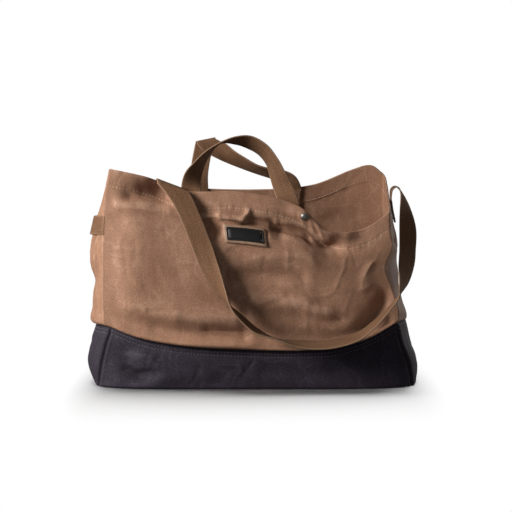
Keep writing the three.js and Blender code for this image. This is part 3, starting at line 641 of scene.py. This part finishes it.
def add_boot(material):
    """Dark boot: flat floor, rounded foot, wall and inner face, as one closed shell."""
    wall = [np.linspace(0.18, TOPSTITCHED, 22, endpoint=False), np.linspace(TOPSTITCHED, 1, 12)]
    make_sheet("boot", np.concatenate([BOOT_FOOT, *wall]))
    sheet = sheets["boot"]
    outer = sheet["points"]
    inner = (outer - sheet["normals"] * CANVAS)[:, len(BOOT_FOOT):]
    floor = outer[:, :1] * LEVEL * FLOOR_SHARES[:, None]
    inner_floor = inner[:, :1] * INNER_FLOOR * np.append(FLOOR_SHARES, 1)[::-1, None] + ON_FLOOR
    points = np.concatenate([floor, outer, inner[:, ::-1], inner_floor], axis=1)
    columns, rows = points.shape[:2]
    first_wall, last_wall = floor.shape[1], rows - inner_floor.shape[1]
    wear_and_painted_light = np.zeros((columns, rows))
    wear_and_painted_light[:, first_wall:first_wall + outer.shape[1]] = sheet["wear_and_painted_light"]
    corners, places = grid_faces(columns, rows, True, False)
    uvs = grid_uvs(places, running_length(outer[:, -1], closed=True), running_length(points[columns // 6]))
    flat = (places[..., 1] < first_wall) | (places[..., 1] >= last_wall)
    level = points[places[..., 0] % columns, places[..., 1]][..., :2]
    uvs = np.where(flat.all(axis=1)[:, None, None], level, uvs)
    verts = np.concatenate([points.reshape(-1, 3), [[0, 0, 0], ON_FLOOR]])
    faces = corners.tolist()
    loops = uvs.reshape(-1, 2).tolist()
    low_pole, high_pole = len(verts) - 2, len(verts) - 1
    for c in range(columns):
        here, after = c * rows, (c + 1) % columns * rows
        low = [low_pole, after, here]
        high = [high_pole, here + rows - 1, after + rows - 1]
        faces += [low, high]
        loops += [verts[k][:2].tolist() for k in low + high]
    piece = make_mesh("canvas_boot", verts, faces, np.array(loops) * MM, np.append(wear_and_painted_light.ravel(), [0, 0]))
    nodes = ["base_front", "base_back", "base_left", "base_right", "base_bottom"]
    return finish_piece(piece, material, "boot", *nodes)


# Webbing
BAND_STEP = 1.8
FACE_POINTS = 11
EDGE_TURNS = 4
EDGE_HIGHLIGHT = (0.9, 0.97)
ROUTE_STEPS = 40
HANDLE_ROWS = 8
STRAP_ROWS = 5
SEAT_SAMPLES = (9, 5)
LOOP_SAMPLES = 7


def band_profile():
    """Section of the webbing around its rounded edges, as shares of its half width and half thickness."""
    inset = 1 - WEBBING_THICKNESS / WEBBING_WIDTH
    flat = np.linspace(-inset, inset, FACE_POINTS)
    turns = np.radians(np.linspace(90, -90, EDGE_TURNS + 2)[1:-1])
    edge = np.stack([inset + (1 - inset) * np.cos(turns), np.sin(turns)], axis=1)
    half = np.concatenate([np.stack([flat, np.ones_like(flat)], axis=1), edge])
    return np.concatenate([half, -half])


def make_band(name, route, material, node):
    """Band of webbing along a route of middle points, with the direction across it at each of them."""
    at = np.array([place for place, _ in route])
    across = unit(np.array([way for _, way in route]))
    end = len(at) - 1
    dense = np.linspace(0, end, ROUTE_STEPS * end + 1)
    length = running_length(curve_at(at, dense))
    steps = round(length[-1] / BAND_STEP)
    t = np.interp(np.linspace(0, length[-1], steps + 1), length, dense)
    middle = curve_at(at, t)
    probe = 1e-3
    run = unit(curve_at(at, np.minimum(t + probe, end)) - curve_at(at, np.maximum(t - probe, 0)))
    side = unit(curve_at(across, t))
    face = np.cross(run, side)
    slant = np.linalg.norm(face, axis=-1, keepdims=True)
    half = side * HALF_WIDTH / slant
    face = face / slant
    profile = band_profile()
    out = face[:, None] * HALF_THICKNESS
    points = middle[:, None] + half[:, None] * profile[:, :1] + out * profile[:, 1:]
    faces, places = tube_faces(*points.shape[:2])
    around = running_length(profile * [HALF_WIDTH, HALF_THICKNESS], closed=True)
    run_length = running_length(middle)
    sides = grid_uvs(places, run_length, around).reshape(-1, 2)
    uvs = np.concatenate([sides, profile * HALF_WIDTH, profile[::-1] * HALF_WIDTH]) * MM
    # Painted highlight: the rounded edges of the band are marked for a paler colour, as where light catches
    # them
    edge = np.tile(smoothstep(np.abs(profile[:, 0]), *EDGE_HIGHLIGHT), len(points))
    piece = make_mesh(name, points.reshape(-1, 3), faces, uvs, edge)
    finish_piece(piece, material, "webbing", node)
    return {"middle": middle, "half": half, "face": face, "length": run_length}


def along_line(place, length, values):
    """Rows of values at distances along a line, between its points."""
    return np.stack([np.interp(place, length, values[:, k]) for k in range(3)], axis=-1)


def on_band(band, along, across, side):
    """Points on one face of a band, and the way that face looks, at distances along and across it."""
    middle, half, face = (along_line(along, band["length"], band[key]) for key in ("middle", "half", "face"))
    face = unit(face) * side
    shift = np.asarray(across)[..., None] / HALF_WIDTH
    return middle + half * shift + face * HALF_THICKNESS, face


def share_below_rim(wall, u, below):
    seam, rim = heights(wall, u)
    return 1 - below / (rim - seam)


def seat(wall, u, v, into):
    """Middle and direction across a band sewn flat to a wall; into is negative on the outside."""
    half = HALF_WIDTH / WALLS[wall]["span"]
    rise = SEAT_REACH / TALL["body"][wall]
    across = on_sheet("body", wall, u + half, v) - on_sheet("body", wall, u - half, v)
    across = unit(across * LEVEL)
    normal = np.array([-across[1], across[0], 0])
    normal = normal * -np.sign(normal @ np.array([*WALLS[wall]["out"], 0]))
    middle = on_sheet("body", wall, u, v)
    aside, above = np.meshgrid(*(np.linspace(-reach, reach, count)
                                 for reach, count in zip((half, rise), SEAT_SAMPLES)))
    reach = (on_sheet("body", wall, u + aside, np.minimum(v + above, 1)) - middle) @ normal
    clear = reach.max() if into > 0 else reach.min()
    return middle + normal * (clear + into), across


def sewn_tail(wall, u, length, into, rows):
    """Rows up a sewn tail of webbing, from its end to the rim."""
    depths = np.linspace(length, 0, rows)
    return [seat(wall, u, share_below_rim(wall, u, depth), into) for depth in depths]


def joined_route(first, rows, last):
    """Route up one sewn tail, along the loose rows and down the other, with the same side across it."""
    cells = np.array([list(row.values()) for row in rows], float)
    loose = [(row[:3], row[3:]) for row in cells]
    first = [(at, across * np.sign(across @ loose[0][1])) for at, across in first]
    last = [(at, across * np.sign(across @ loose[-1][1])) for at, across in last]
    return first + loose + last[::-1]


def add_handle(row, material):
    """Grab handle: up from one tail inside the rim, over its arch and down to the other tail."""
    into = HEM_CANVAS + SEAT_GAP + HALF_THICKNESS
    ends = (row["left"], row["right"])
    first, last = (sewn_tail(row["wall"], u, HANDLE_TAIL, into, HANDLE_ROWS) for u in ends)
    route = joined_route(first, row["arch"], last)
    return make_band(row["name"] + "_webbing", route, material, row["name"])


def add_strap(material):
    """Shoulder strap: sewn to the outside of both side walls, and loose between its tails."""
    out = SEAT_GAP + HALF_THICKNESS
    first, last = (sewn_tail(wall, 0.5, STRAP_TAIL, -out, STRAP_ROWS) for wall in ("left", "right"))
    route = joined_route(first, STRAP_ROUTE, last)
    return make_band("shoulder_strap_webbing", route, material, "shoulder_strap")


def add_side_loop(material):
    """Level loop on the left wall, sewn flat at both ends and bowed off the cloth between them."""
    route = []
    for row in LOOP_BOW:
        seam, rim = heights("left", row["u"])
        tall = rim - seam
        v = (LOOP_HEIGHT - row["sag"] - seam) / tall
        shares = np.linspace(0, 1, LOOP_SAMPLES)
        cloth = on_sheet("body", "left", row["u"], v + (shares - 0.5) * WEBBING_WIDTH / tall)
        low, high = cloth[0].copy(), cloth[-1].copy()
        chord = low + (high - low) * shares[:, None]
        bulge = max(0, (chord - cloth)[:, 0].max())
        out = SEAT_GAP + HALF_THICKNESS + bulge + row["lift"]
        low[0] -= out
        high[0] -= out
        plumb = low + np.array([0, 0, WEBBING_WIDTH])
        high = high + (plumb - high) * row["upright"]
        route.append(((low + high) / 2, high - low))
    return make_band("side_loop_webbing", route, material, "side_loop")


# Stitches: length, gap and thread radius in each piece, and the rings of one stitch (place, swell, lift)
STITCHES = {
    "hem_stitches": (4.0, 1.6, 0.55),
    "boot_stitches": (3.6, 1.8, 0.5),
    "webbing_stitches": (2.8, 0.9, 0.4),
    "label_stitches": (2.4, 0.9, 0.34),
    "label_tacks": (1.7, 0.4, 0.35),
}
STITCH_SIDES = 5
STITCH_RINGS = np.array([
    (0.0, 0.45, -0.7), (0.12, 0.85, -0.1), (0.5, 1.0, 0.35), (0.88, 0.85, -0.1), (1.0, 0.45, -0.7),
])
HANDLE_BOX = (4, 28)
STRAP_BOX = (5, 37)
BOX_INSET = 3.5
BOX_SAMPLES = 14
LOOP_ROWS = (2.8, 5.2)
LOOP_INSET = 3
LOOP_LINE = 12
SEAM_END = 0.006
SEAM_SAMPLES = 160


def stitch_rows(name, lines, material, slot):
    """Rows of thread stitches along lines of points, each with the way the cloth faces."""
    length, gap, radius = STITCHES[name]
    place, swell, lift = STITCH_RINGS.T
    stitch_faces, _ = tube_faces(len(place), STITCH_SIDES)
    verts, faces = [], []
    for points, facing in lines:
        run = running_length(points)
        count = int((run[-1] + gap) // (length + gap))
        spare = (run[-1] + gap - count * (length + gap)) / 2
        for k in range(count):
            start = spare + k * (length + gap)
            middle = along_line(start + length * place, run, points)
            up = unit(along_line(start + length / 2, run, facing))
            forward = unit(middle[-1] - middle[0])
            side = unit(np.cross(forward, up))
            up = np.cross(side, forward)
            centres = middle + np.outer(lift * radius, up)
            rings = centres[:, None] + spokes(STITCH_SIDES, side, up) * (swell * radius)[:, None, None]
            faces += [[len(verts) + corner for corner in face] for face in stitch_faces]
            verts += rings.reshape(-1, 3).tolist()
    return finish_piece(make_mesh(name, verts, faces), material, slot)


def wall_line(part, wall, us, vs, layer="points"):
    """Line of points on the outer or the inner face of a wall, with the way that face looks."""
    facing = unit(on_sheet(part, wall, us, vs, "normals"))
    return on_sheet(part, wall, us, vs, layer), -facing if layer == "inner" else facing


def both_faces(band, along, across):
    return [on_band(band, along, across, side) for side in (1, -1)]


def box_lines(band, start, stop):
    """Box of stitches with a cross in it, on both faces of a band."""
    w = HALF_WIDTH - BOX_INSET
    near_low, near_high, far_low, far_high = (start, -w), (start, w), (stop, -w), (stop, w)
    legs = [(near_low, far_low), (far_low, far_high), (far_high, near_high), (near_high, near_low),
            (near_low, far_high), (near_high, far_low)]
    lines = []
    for leg in legs:
        lines += both_faces(band, *np.linspace(*leg, BOX_SAMPLES).T)
    return lines


def add_stitches(threads, handles, strap, loop):
    """Every sewn line that shows: hem, boot, handle and strap tails, and side loop."""
    hem, boot, sewn = [], [], []
    us = np.linspace(SEAM_END, 1 - SEAM_END, SEAM_SAMPLES)
    for wall, _ in RING:
        vs = share_below_rim(wall, us, HEM)
        hem += [wall_line("body", wall, us, vs, layer) for layer in ("points", "inner")]
        seam, _ = heights(wall, us)
        boot += [wall_line("boot", wall, us, 1 - row / seam) for row in TOPSTITCH]
    for band, box in [*((handle, HANDLE_BOX) for handle in handles), (strap, STRAP_BOX)]:
        total = band["length"][-1]
        sewn += box_lines(band, *box) + box_lines(band, total - box[0], total - box[1])
    total = loop["length"][-1]
    across = np.linspace(LOOP_INSET - HALF_WIDTH, HALF_WIDTH - LOOP_INSET, LOOP_LINE)
    for place in (*LOOP_ROWS, total - LOOP_ROWS[1], total - LOOP_ROWS[0]):
        sewn += both_faces(loop, np.full(LOOP_LINE, place), across)
    stitch_rows("hem_stitches", hem, threads["pale"], "canvas")
    stitch_rows("boot_stitches", boot, threads["grey"], "boot")
    stitch_rows("webbing_stitches", sewn, threads["tan"], "webbing")


# Label and snap: rings of (inset, height) up each plate of the label, and of (reach, rise) up the snap
CORNER_TURNS = 5
STRAIGHT_STEPS = 7
LABEL_LIFT = 0.2
LABEL_RADIUS = 2.5
FACE_RADIUS = 2.0
LEAST_RADIUS = 0.3
TOP_SHARES = (0.8, 0.6, 0.4, 0.2)
LABEL_THICK = LABEL["thickness"]
BACKING_RINGS = [(0.4, 0.0), (0, 0.3), (0, LABEL_THICK - 0.4), (0.4, LABEL_THICK)]
FACE_LOW = LABEL_THICK + 0.05
FACE_TOP = LABEL_THICK + 1.0
FACE_GROOVE = FACE_TOP - 0.35
FACE_RINGS = [(0.3, FACE_LOW), (0, FACE_LOW + 0.3), (0, FACE_TOP - 0.2), (0.3, FACE_TOP), (1.9, FACE_TOP),
              (2.2, FACE_GROOVE), (2.8, FACE_GROOVE), (3.1, FACE_TOP)]
TACK_INSET = (4.6, 4.4)
SNAP_SIDES = 36
SNAP_LIFT = 0.1
SNAP_RINGS = np.array([
    (0.8, 0), (0.97, 0.04), (1, 0.16), (0.98, 0.3), (0.92, 0.42), (0.86, 0.46), (0.8, 0.5), (0.66, 0.7),
    (0.5, 0.86), (0.34, 0.96), (0.2, 1.0), (0.08, 1.01),
])


def rounded_outline(width, height, radius):
    """Outline of a rounded rectangle about the middle, once around."""
    signs = np.array([(1, 1), (-1, 1), (-1, -1), (1, -1)])
    centres = signs * np.array([width / 2 - radius, height / 2 - radius])
    shares = np.linspace(0, 1, STRAIGHT_STEPS + 1)[1:-1, None]
    outline = []
    for k, centre in enumerate(centres):
        turns = np.radians(np.linspace(90 * k, 90 * k + 90, CORNER_TURNS + 1))
        arc = centre + radius * np.stack([np.cos(turns), np.sin(turns)], axis=1)
        outline += [arc, arc[-1] + (centres[(k + 1) % 4] - centre) * shares]
    return np.concatenate(outline)


def label_terms(a, b):
    return np.stack([np.ones_like(a), a, b, a * a, a * b, b * b], axis=-1)


def fit_label():
    """Smooth stiff plate that lies on the front wall, as squares of the distances from its middle."""
    across, up = np.linspace(-0.5, 0.5, 25) * LABEL["width"], np.linspace(-0.5, 0.5, 13) * LABEL["height"]
    a, b = (axis.ravel() for axis in np.meshgrid(across, up))
    tilt = math.radians(LABEL["tilt"])
    u = LABEL["u"] + (a * math.cos(tilt) - b * (math.sin(tilt) + LABEL["lean"])) / WALLS["front"]["span"]
    v = LABEL["v"] + (a * math.sin(tilt) + b * math.cos(tilt)) / TALL["body"]["front"]
    cloth = on_sheet("body", "front", u, v)
    factors = np.linalg.lstsq(label_terms(a, b), cloth, rcond=None)[0]
    proud = (label_terms(a, b) @ factors - cloth)[:, 1].max()
    return factors, proud + LABEL_LIFT


def label_place(plate, a, b, lift):
    """Points at a height above the label's plate, and the way it faces there."""
    factors, proud = plate
    a, b = np.asarray(a, float), np.asarray(b, float)
    zero, one = np.zeros_like(a), np.ones_like(a)
    along = np.stack([zero, one, zero, 2 * a, b, zero], axis=-1) @ factors
    up = np.stack([zero, zero, one, zero, a, 2 * b], axis=-1) @ factors
    facing = unit(np.cross(along, up))
    return label_terms(a, b) @ factors + np.array([0, -proud, 0]) + facing * lift, facing


def add_plate(plate, name, inset, radius, rings, material, slot, node):
    """Closed rounded plate from its rings, inset from the label's edge, with its top filled in."""
    def ring_at(step, lift, share=1.0):
        width, height = (LABEL[key] - 2 * (inset + step) for key in ("width", "height"))
        a, b = rounded_outline(width, height, max(radius - step, LEAST_RADIUS)).T * share
        return label_place(plate, a, b, lift)[0]

    last_step, top = rings[-1]
    levels = [ring_at(*ring) for ring in rings]
    levels += [ring_at(last_step, top, share) for share in TOP_SHARES]
    points = np.stack(levels, axis=1)
    columns, rows = points.shape[:2]
    middle = label_place(plate, [0.0], [0.0], top)[0]
    verts = np.concatenate([points.reshape(-1, 3), middle])
    corners, _ = grid_faces(columns, rows, True, False)
    ends = np.arange(columns) * rows + rows - 1
    faces = corners.tolist()
    faces += [[here, after, len(verts) - 1] for here, after in zip(ends.tolist(), np.roll(ends, -1).tolist())]
    faces.append([c * rows for c in reversed(range(columns))])
    uvs = [verts[k][[0, 2]] * MM for face in faces for k in face]
    return finish_piece(make_mesh(name, verts, faces, uvs), material, slot, node)


def add_label(backing, face, thread):
    """Bare stitched label: tan backing, black face with a raised frame, and a tack in each corner."""
    plate = fit_label()
    w, h, border = LABEL["width"], LABEL["height"], LABEL["border"]
    add_plate(plate, "label_backing_patch", 0, LABEL_RADIUS, BACKING_RINGS, backing, "patch", "label_backing")
    add_plate(plate, "label_face_patch", border, FACE_RADIUS, FACE_RINGS, face, "leather", "label_face")
    line = rounded_outline(w - border, h - border, FACE_RADIUS)
    a, b = np.concatenate([line, line[:1]]).T
    stitch_rows("label_stitches", [label_place(plate, a, b, LABEL_THICK)], thread, "patch")
    tack_x, tack_y = w / 2 - border - TACK_INSET[0], h / 2 - border - TACK_INSET[1]
    tacks = [label_place(plate, x + np.linspace(-1, 1, 4), np.full(4, y), FACE_TOP)
             for x in (-tack_x, tack_x) for y in (-tack_y, tack_y)]
    stitch_rows("label_tacks", tacks, thread, "leather")


def add_snap(material):
    """Domed cap of the snap with a rolled edge, turned about the way the cloth faces."""
    u, v, radius, height = (SNAP[key] for key in ("u", "v", "radius", "height"))
    centre = on_sheet("body", "front", u, v)
    around = np.linspace(0, 2 * math.pi, 12, endpoint=False)
    near = on_sheet("body", "front", u + radius * np.cos(around) / WALLS["front"]["span"],
                    v + radius * np.sin(around) / TALL["body"]["front"])
    axis = unit(np.cross(near[0] - near[6], near[3] - near[9]))
    centre = centre + axis * (((near - centre) @ axis).max() + SNAP_LIFT)
    side = unit(np.cross(axis, np.array([0, 0, 1.0])))
    out = spokes(SNAP_SIDES, side, np.cross(side, axis))
    reach, rise = SNAP_RINGS.T
    points = (centre + np.outer(rise * height, axis))[:, None] + out * (reach * radius)[:, None, None]
    faces, _ = tube_faces(len(reach), SNAP_SIDES)
    return finish_piece(make_mesh("snap_cap", points.reshape(-1, 3), faces), material, "metal", "snap")


# Materials
def rgb(code):
    """Linear colour from a six-figure colour code."""
    shares = [int(code[k:k + 2], 16) / 255 for k in (0, 2, 4)]
    linear = [c / 12.92 if c <= 0.04045 else ((c + 0.055) / 1.055) ** 2.4 for c in shares]
    return (*linear, 1.0)


class Look:
    """Shader of one material; an input that is given a socket is linked to it, and any other value is set."""

    def __init__(self, name, place="UV"):
        self.material = bpy.data.materials.new(name)
        self.material.use_nodes = True
        self.tree = self.material.node_tree
        self.surface = self.tree.nodes["Principled BSDF"]
        self.place = self.node("TexCoord", {}, output=place)

    def give(self, target, inputs):
        for key, value in inputs.items():
            if isinstance(value, bpy.types.NodeSocket):
                self.tree.links.new(value, target.inputs[key])
            else:
                target.inputs[key].default_value = value

    def node(self, kind, inputs, output=0, **settings):
        made = self.tree.nodes.new("ShaderNode" + kind)
        for key, value in settings.items():
            setattr(made, key, value)
        self.give(made, inputs)
        return made.outputs[output]

    def math(self, operation, *values):
        return self.node("Math", dict(enumerate(values)), operation=operation)

    def vector(self, operation, *values, output=0):
        return self.node("VectorMath", dict(enumerate(values)), output=output, operation=operation)

    def mix(self, factor, first, second):
        return self.node("Mix", {0: factor, 6: first, 7: second}, output=2, data_type="RGBA")

    def spread(self, value, low, high, to_low=0.0, to_high=1.0):
        """Value moved from one range to another, and kept inside it."""
        inputs = {"Value": value, "From Min": low, "From Max": high, "To Min": to_low, "To Max": to_high}
        return self.node("MapRange", inputs)

    def noise(self, scale, detail, roughness, stretch=(1, 1, 1)):
        """Noise over the piece, at a scale counted per metre, stretched along its axes."""
        moved = self.node("Mapping", {"Vector": self.place, "Scale": stretch})
        inputs = {"Vector": moved, "Scale": scale, "Detail": detail, "Roughness": roughness}
        return self.node("TexNoise", inputs)

    def weave(self, *pitches):
        """Height of a plain weave, from -1 to 1, with its threads this many metres apart along each axis."""
        waves = []
        for axis, pitch in enumerate(pitches):
            along = self.node("SeparateXYZ", {0: self.place}, output=axis)
            waves.append(self.math("SINE", self.math("MULTIPLY", along, math.pi / pitch)))
        return self.math("MULTIPLY", *waves)

    def bump(self, height, distance, strength, **under):
        return self.node("Bump", {"Height": height, "Distance": distance, "Strength": strength, **under})

    def wear_and_painted_light(self):
        return self.node("Attribute", {}, output="Fac", attribute_name="wear_and_painted_light")

    def glow(self):
        return self.node("Emission", {"Color": (1, 1, 1, 1), "Strength": 1.0})

    def cover(self, shader):
        """Material that shows this shader as its surface."""
        self.give(self.tree.nodes["Material Output"], {"Surface": shader})
        return self.material

    def done(self, inputs):
        """Material with these inputs of its surface."""
        self.give(self.surface, inputs)
        return self.material


def cloth_material(name, codes, pitch, roughness):
    """Waxed or plain canvas: cloudy colour, rubbed creases, painted shade in hollows and the boot's corner
    grooves, scuffs and a plain weave.
    """
    dark, base, light, pale = (rgb(code) for code in codes)
    look = Look(name)
    clouds = look.noise(11, 5, 0.6)
    streaks = look.noise(60, 4, 0.6, (1, 0.4, 1))
    grain = look.noise(420, 3, 0.7)
    blend = look.math("MULTIPLY_ADD", streaks, 0.45, look.math("MULTIPLY", clouds, 0.55))
    colour = look.mix(look.spread(blend, 0.3, 0.5), dark, base)
    colour = look.mix(look.spread(blend, 0.5, 0.7), colour, light)
    worn_and_shaded = look.wear_and_painted_light()
    patchy = look.spread(streaks, 0.35, 0.62, 0.1, 0.6)
    colour = look.mix(look.math("MULTIPLY", look.spread(worn_and_shaded, 0.1, 0.7), patchy), colour, pale)
    # Painted shade: hollows of the relief and the boot's corner grooves are mixed towards the dark colour
    colour = look.mix(look.spread(worn_and_shaded, -0.1, -0.8, 0, 0.5), colour, dark)
    wobble = look.node("TexNoise", {"Vector": look.place, "Scale": 22, "Detail": 4}, output="Color")
    shifted = look.vector("MULTIPLY_ADD", wobble, (0.06, 0.06, 0), look.place)
    for scale, edge, where, share in ((15, 0.035, clouds, 0.45), (37, 0.05, streaks, 0.25)):
        cracks = look.node("TexVoronoi", {"Vector": shifted, "Scale": scale}, feature="DISTANCE_TO_EDGE")
        shown = look.spread(where, 0.42, 0.62, 0, share)
        colour = look.mix(look.math("MULTIPLY", look.spread(cracks, edge, 0), shown), colour, pale)
    scuffs = look.noise(130, 6, 0.7, (1, 0.25, 1))
    colour = look.mix(look.spread(scuffs, 0.64, 0.77, 0, 0.6), colour, pale)
    colour = look.mix(look.spread(grain, 0.5, 0.25, 0, 0.85), colour, dark)
    colour = look.mix(look.spread(grain, 0.5, 0.75, 0, 0.5), colour, pale)
    rough = look.bump(look.noise(160, 5, 0.6), 0.0008, 0.35)
    return look.done({
        "Base Color": colour,
        "Roughness": look.spread(blend, 0.3, 0.7, roughness + 0.1, roughness - 0.1),
        "Normal": look.bump(look.weave(pitch, pitch * 1.1), 0.0002, 0.6, Normal=rough),
        "Specular IOR Level": 0.16,
        "Sheen Weight": 0.03,
        "Sheen Roughness": 0.4,
    })


def webbing_material():
    """Cotton webbing: cords along it, weft across it, slightly uneven dye, and edges painted paler as a
    highlight.
    """
    look = Look("webbing_cotton")
    shade = rgb("4f3a2a")
    uneven = look.noise(55, 4, 0.6, (0.35, 1.6, 1))
    cords = look.weave(0.0013, 0.0011)
    fuzz = look.noise(480, 3, 0.7)
    colour = look.mix(look.spread(uneven, 0.32, 0.68), rgb("62442f"), rgb("75543c"))
    colour = look.mix(look.spread(cords, -0.2, -0.9, 0, 0.25), colour, shade)
    colour = look.mix(look.spread(fuzz, 0.45, 0.75, 0, 0.5), colour, rgb("a18168"))
    colour = look.mix(look.spread(fuzz, 0.5, 0.25, 0, 0.5), colour, shade)
    # Painted highlight: the marked edges of the band are mixed towards a pale colour
    return look.done({
        "Base Color": look.mix(look.spread(look.wear_and_painted_light(), 0, 1, 0, 0.55), colour, rgb("ab8c73")),
        "Roughness": look.spread(uneven, 0.3, 0.7, 0.9, 0.75),
        "Normal": look.bump(fuzz, 0.0003, 0.3, Normal=look.bump(cords, 0.0004, 0.4)),
        "Sheen Weight": 0.02,
        "Specular IOR Level": 0.12,
    })


def leather_material(name, dark, light, scale, roughness, depth):
    """Leather: pebbled grain with darker pores."""
    look = Look(name)
    cells = look.node("TexVoronoi", {"Vector": look.place, "Scale": scale}, feature="SMOOTH_F1")
    clouds = look.noise(90, 4, 0.6)
    colour = look.mix(look.spread(clouds, 0.3, 0.7), rgb(dark), rgb(light))
    return look.done({
        "Base Color": look.mix(look.spread(cells, 0.4, 0.75, 0, 0.5), colour, rgb(dark)),
        "Roughness": look.spread(clouds, 0.3, 0.7, roughness + 0.08, roughness - 0.08),
        "Normal": look.bump(cells, depth, 0.5),
    })


def metal_material():
    """Dull nickel with fine handling marks."""
    look = Look("snap_nickel", "Object")
    marks = look.noise(900, 4, 0.65, (1, 1, 3))
    return look.done({
        "Base Color": look.mix(look.spread(marks, 0.35, 0.7), rgb("716d69"), rgb("96918c")),
        "Roughness": look.spread(marks, 0.3, 0.7, 0.36, 0.52),
        "Normal": look.bump(marks, 0.0001, 0.2),
        "Metallic": 1.0,
    })


def thread_material(name, dark, light):
    """Twisted sewing thread."""
    look = Look(name, "Object")
    twist = look.noise(1500, 2, 0.5)
    return look.done({
        "Base Color": look.mix(look.spread(twist, 0.35, 0.65), rgb(dark), rgb(light)),
        "Normal": look.bump(twist, 0.0002, 0.4),
        "Roughness": 0.75,
    })


# Camera, lights and floor, in metres
CAMERA_PLACE = (0.002, -2.235, 0.399)
CAMERA_TILT = math.radians(85)
CAMERA_SENSOR = 36
CAMERA_LENS = 92.25
FLOOR_RADIUS = 6.0
FLOOR_SIDES = 96
FLOOR_HEIGHT = -0.0003
SHADOW_CORE = (0.235, 0.13, 1)
SHADOW_STRETCH = (4, 1, 1)
SHADOW_END = (0.03, 0.27)
SURROUND_RADIUS = 12
WORLD_STRENGTH = 0.12
LIGHTS = table("name lit place aim size power colour", [
    ("key", "bag", (-1.75, -0.82, 0.98), (0, -0.05, 0.18), 1.0, 66, (1, 0.985, 0.965)),
    ("back", "bag", (1.7, 1.3, 0.45), (0, 0, 0.2), 1.0, 8, (1, 0.97, 0.94)),
    ("bounce", "bag", (0.1, -0.85, 0.02), (0.05, -0.1, 0.25), 0.9, 0.3, (1, 0.99, 0.98)),
    ("overhead", "ground", (0, 0.62, 1.8), (0, -0.1, 0), 1.9, 55, (1, 1, 1)),
])


def add_camera():
    camera = bpy.data.objects.new("camera", bpy.data.cameras.new("camera"))
    camera.location = CAMERA_PLACE
    camera.rotation_euler = (CAMERA_TILT, 0, 0)
    camera.data.sensor_width = CAMERA_SENSOR
    camera.data.lens = CAMERA_LENS
    bpy.context.scene.collection.objects.link(camera)
    bpy.context.scene.camera = camera


def add_floor():
    """Pale floor that goes over to plain white away from the bag."""
    look = Look("floor_white", "Object")
    look.done({"Base Color": (0.9, 0.9, 0.9, 1), "Roughness": 0.9, "Specular IOR Level": 0.0})
    beyond = look.vector("SUBTRACT", look.vector("ABSOLUTE", look.place), SHADOW_CORE)
    beyond = look.vector("MULTIPLY", look.vector("MAXIMUM", beyond, (0, 0, 0)), SHADOW_STRETCH)
    away = look.spread(look.vector("LENGTH", beyond, output="Value"), *SHADOW_END)
    material = look.cover(look.node("MixShader", {0: away, 1: look.surface.outputs[0], 2: look.glow()}))
    ring = spokes(FLOOR_SIDES, (1, 0, 0), (0, 1, 0)) * FLOOR_RADIUS + np.array([0, 0, FLOOR_HEIGHT])
    floor = make_mesh("floor", ring / MM, [list(range(FLOOR_SIDES))])
    floor.data.materials.append(material)
    floor.visible_diffuse = False
    floor.visible_glossy = False
    return floor


def add_surround():
    """White surround that is seen by the camera alone, and an even white world."""
    bpy.ops.mesh.primitive_uv_sphere_add(segments=48, ring_count=24, radius=SURROUND_RADIUS)
    surround = bpy.context.object
    surround.name = "surround"
    look = Look("surround_white")
    surround.data.materials.append(look.cover(look.glow()))
    for ray in ("diffuse", "glossy", "transmission", "volume_scatter", "shadow"):
        setattr(surround, "visible_" + ray, False)
    world = bpy.data.worlds.new("studio")
    world.use_nodes = True
    background = world.node_tree.nodes["Background"]
    background.inputs["Color"].default_value = (1, 1, 1, 1)
    background.inputs["Strength"].default_value = WORLD_STRENGTH
    bpy.context.scene.world = world
    return surround


def add_lights(floor, surround):
    """Soft round lights, each for the bag or the floor alone, so that its shadow is soft all around."""
    lit = {name: bpy.data.collections.new(name) for name in ("ground", "bag")}
    lit["ground"].objects.link(floor)
    for piece in bpy.context.scene.objects:
        if piece.type == "MESH" and piece not in (floor, surround):
            lit["bag"].objects.link(piece)
    for row in LIGHTS:
        data = bpy.data.lights.new(row["name"], "AREA")
        data.shape = "DISK"
        data.size = row["size"]
        data.energy = row["power"]
        data.color = row["colour"]
        light = bpy.data.objects.new(row["name"], data)
        light.location = row["place"]
        facing = Vector(row["aim"]) - Vector(row["place"])
        light.rotation_euler = facing.to_track_quat("-Z", "Y").to_euler()
        light.light_linking.receiver_collection = lit[row["lit"]]
        bpy.context.scene.collection.objects.link(light)
    bpy.context.scene.view_settings.view_transform = "Standard"


# Build the scene
canvas = cloth_material("canvas_waxed", ("85604a", "9d755d", "aa8167", "c49d84"), 0.0009, 0.55)
charcoal = cloth_material("canvas_charcoal", ("241f28", "2d2731", "38313c", "504954"), 0.0008, 0.68)
webbing = webbing_material()
label_tan = leather_material("label_tan", "90715a", "b4947c", 1500, 0.6, 0.0002)
label_black = leather_material("label_black", "050505", "0f0e10", 1300, 0.55, 0.0003)
threads = {
    "tan": thread_material("thread_tan", "94735b", "b9967b"),
    "pale": thread_material("thread_pale", "b8967c", "dabba2"),
    "grey": thread_material("thread_grey", "4b464e", "6e6870"),
}
add_body(canvas)
add_boot(charcoal)
handles = [add_handle(row, webbing) for row in HANDLES]
strap = add_strap(webbing)
side_loop = add_side_loop(webbing)
add_label(label_tan, label_black, threads["tan"])
add_snap(metal_material())
add_stitches(threads, handles, strap, side_loop)
add_camera()
add_lights(add_floor(), add_surround())
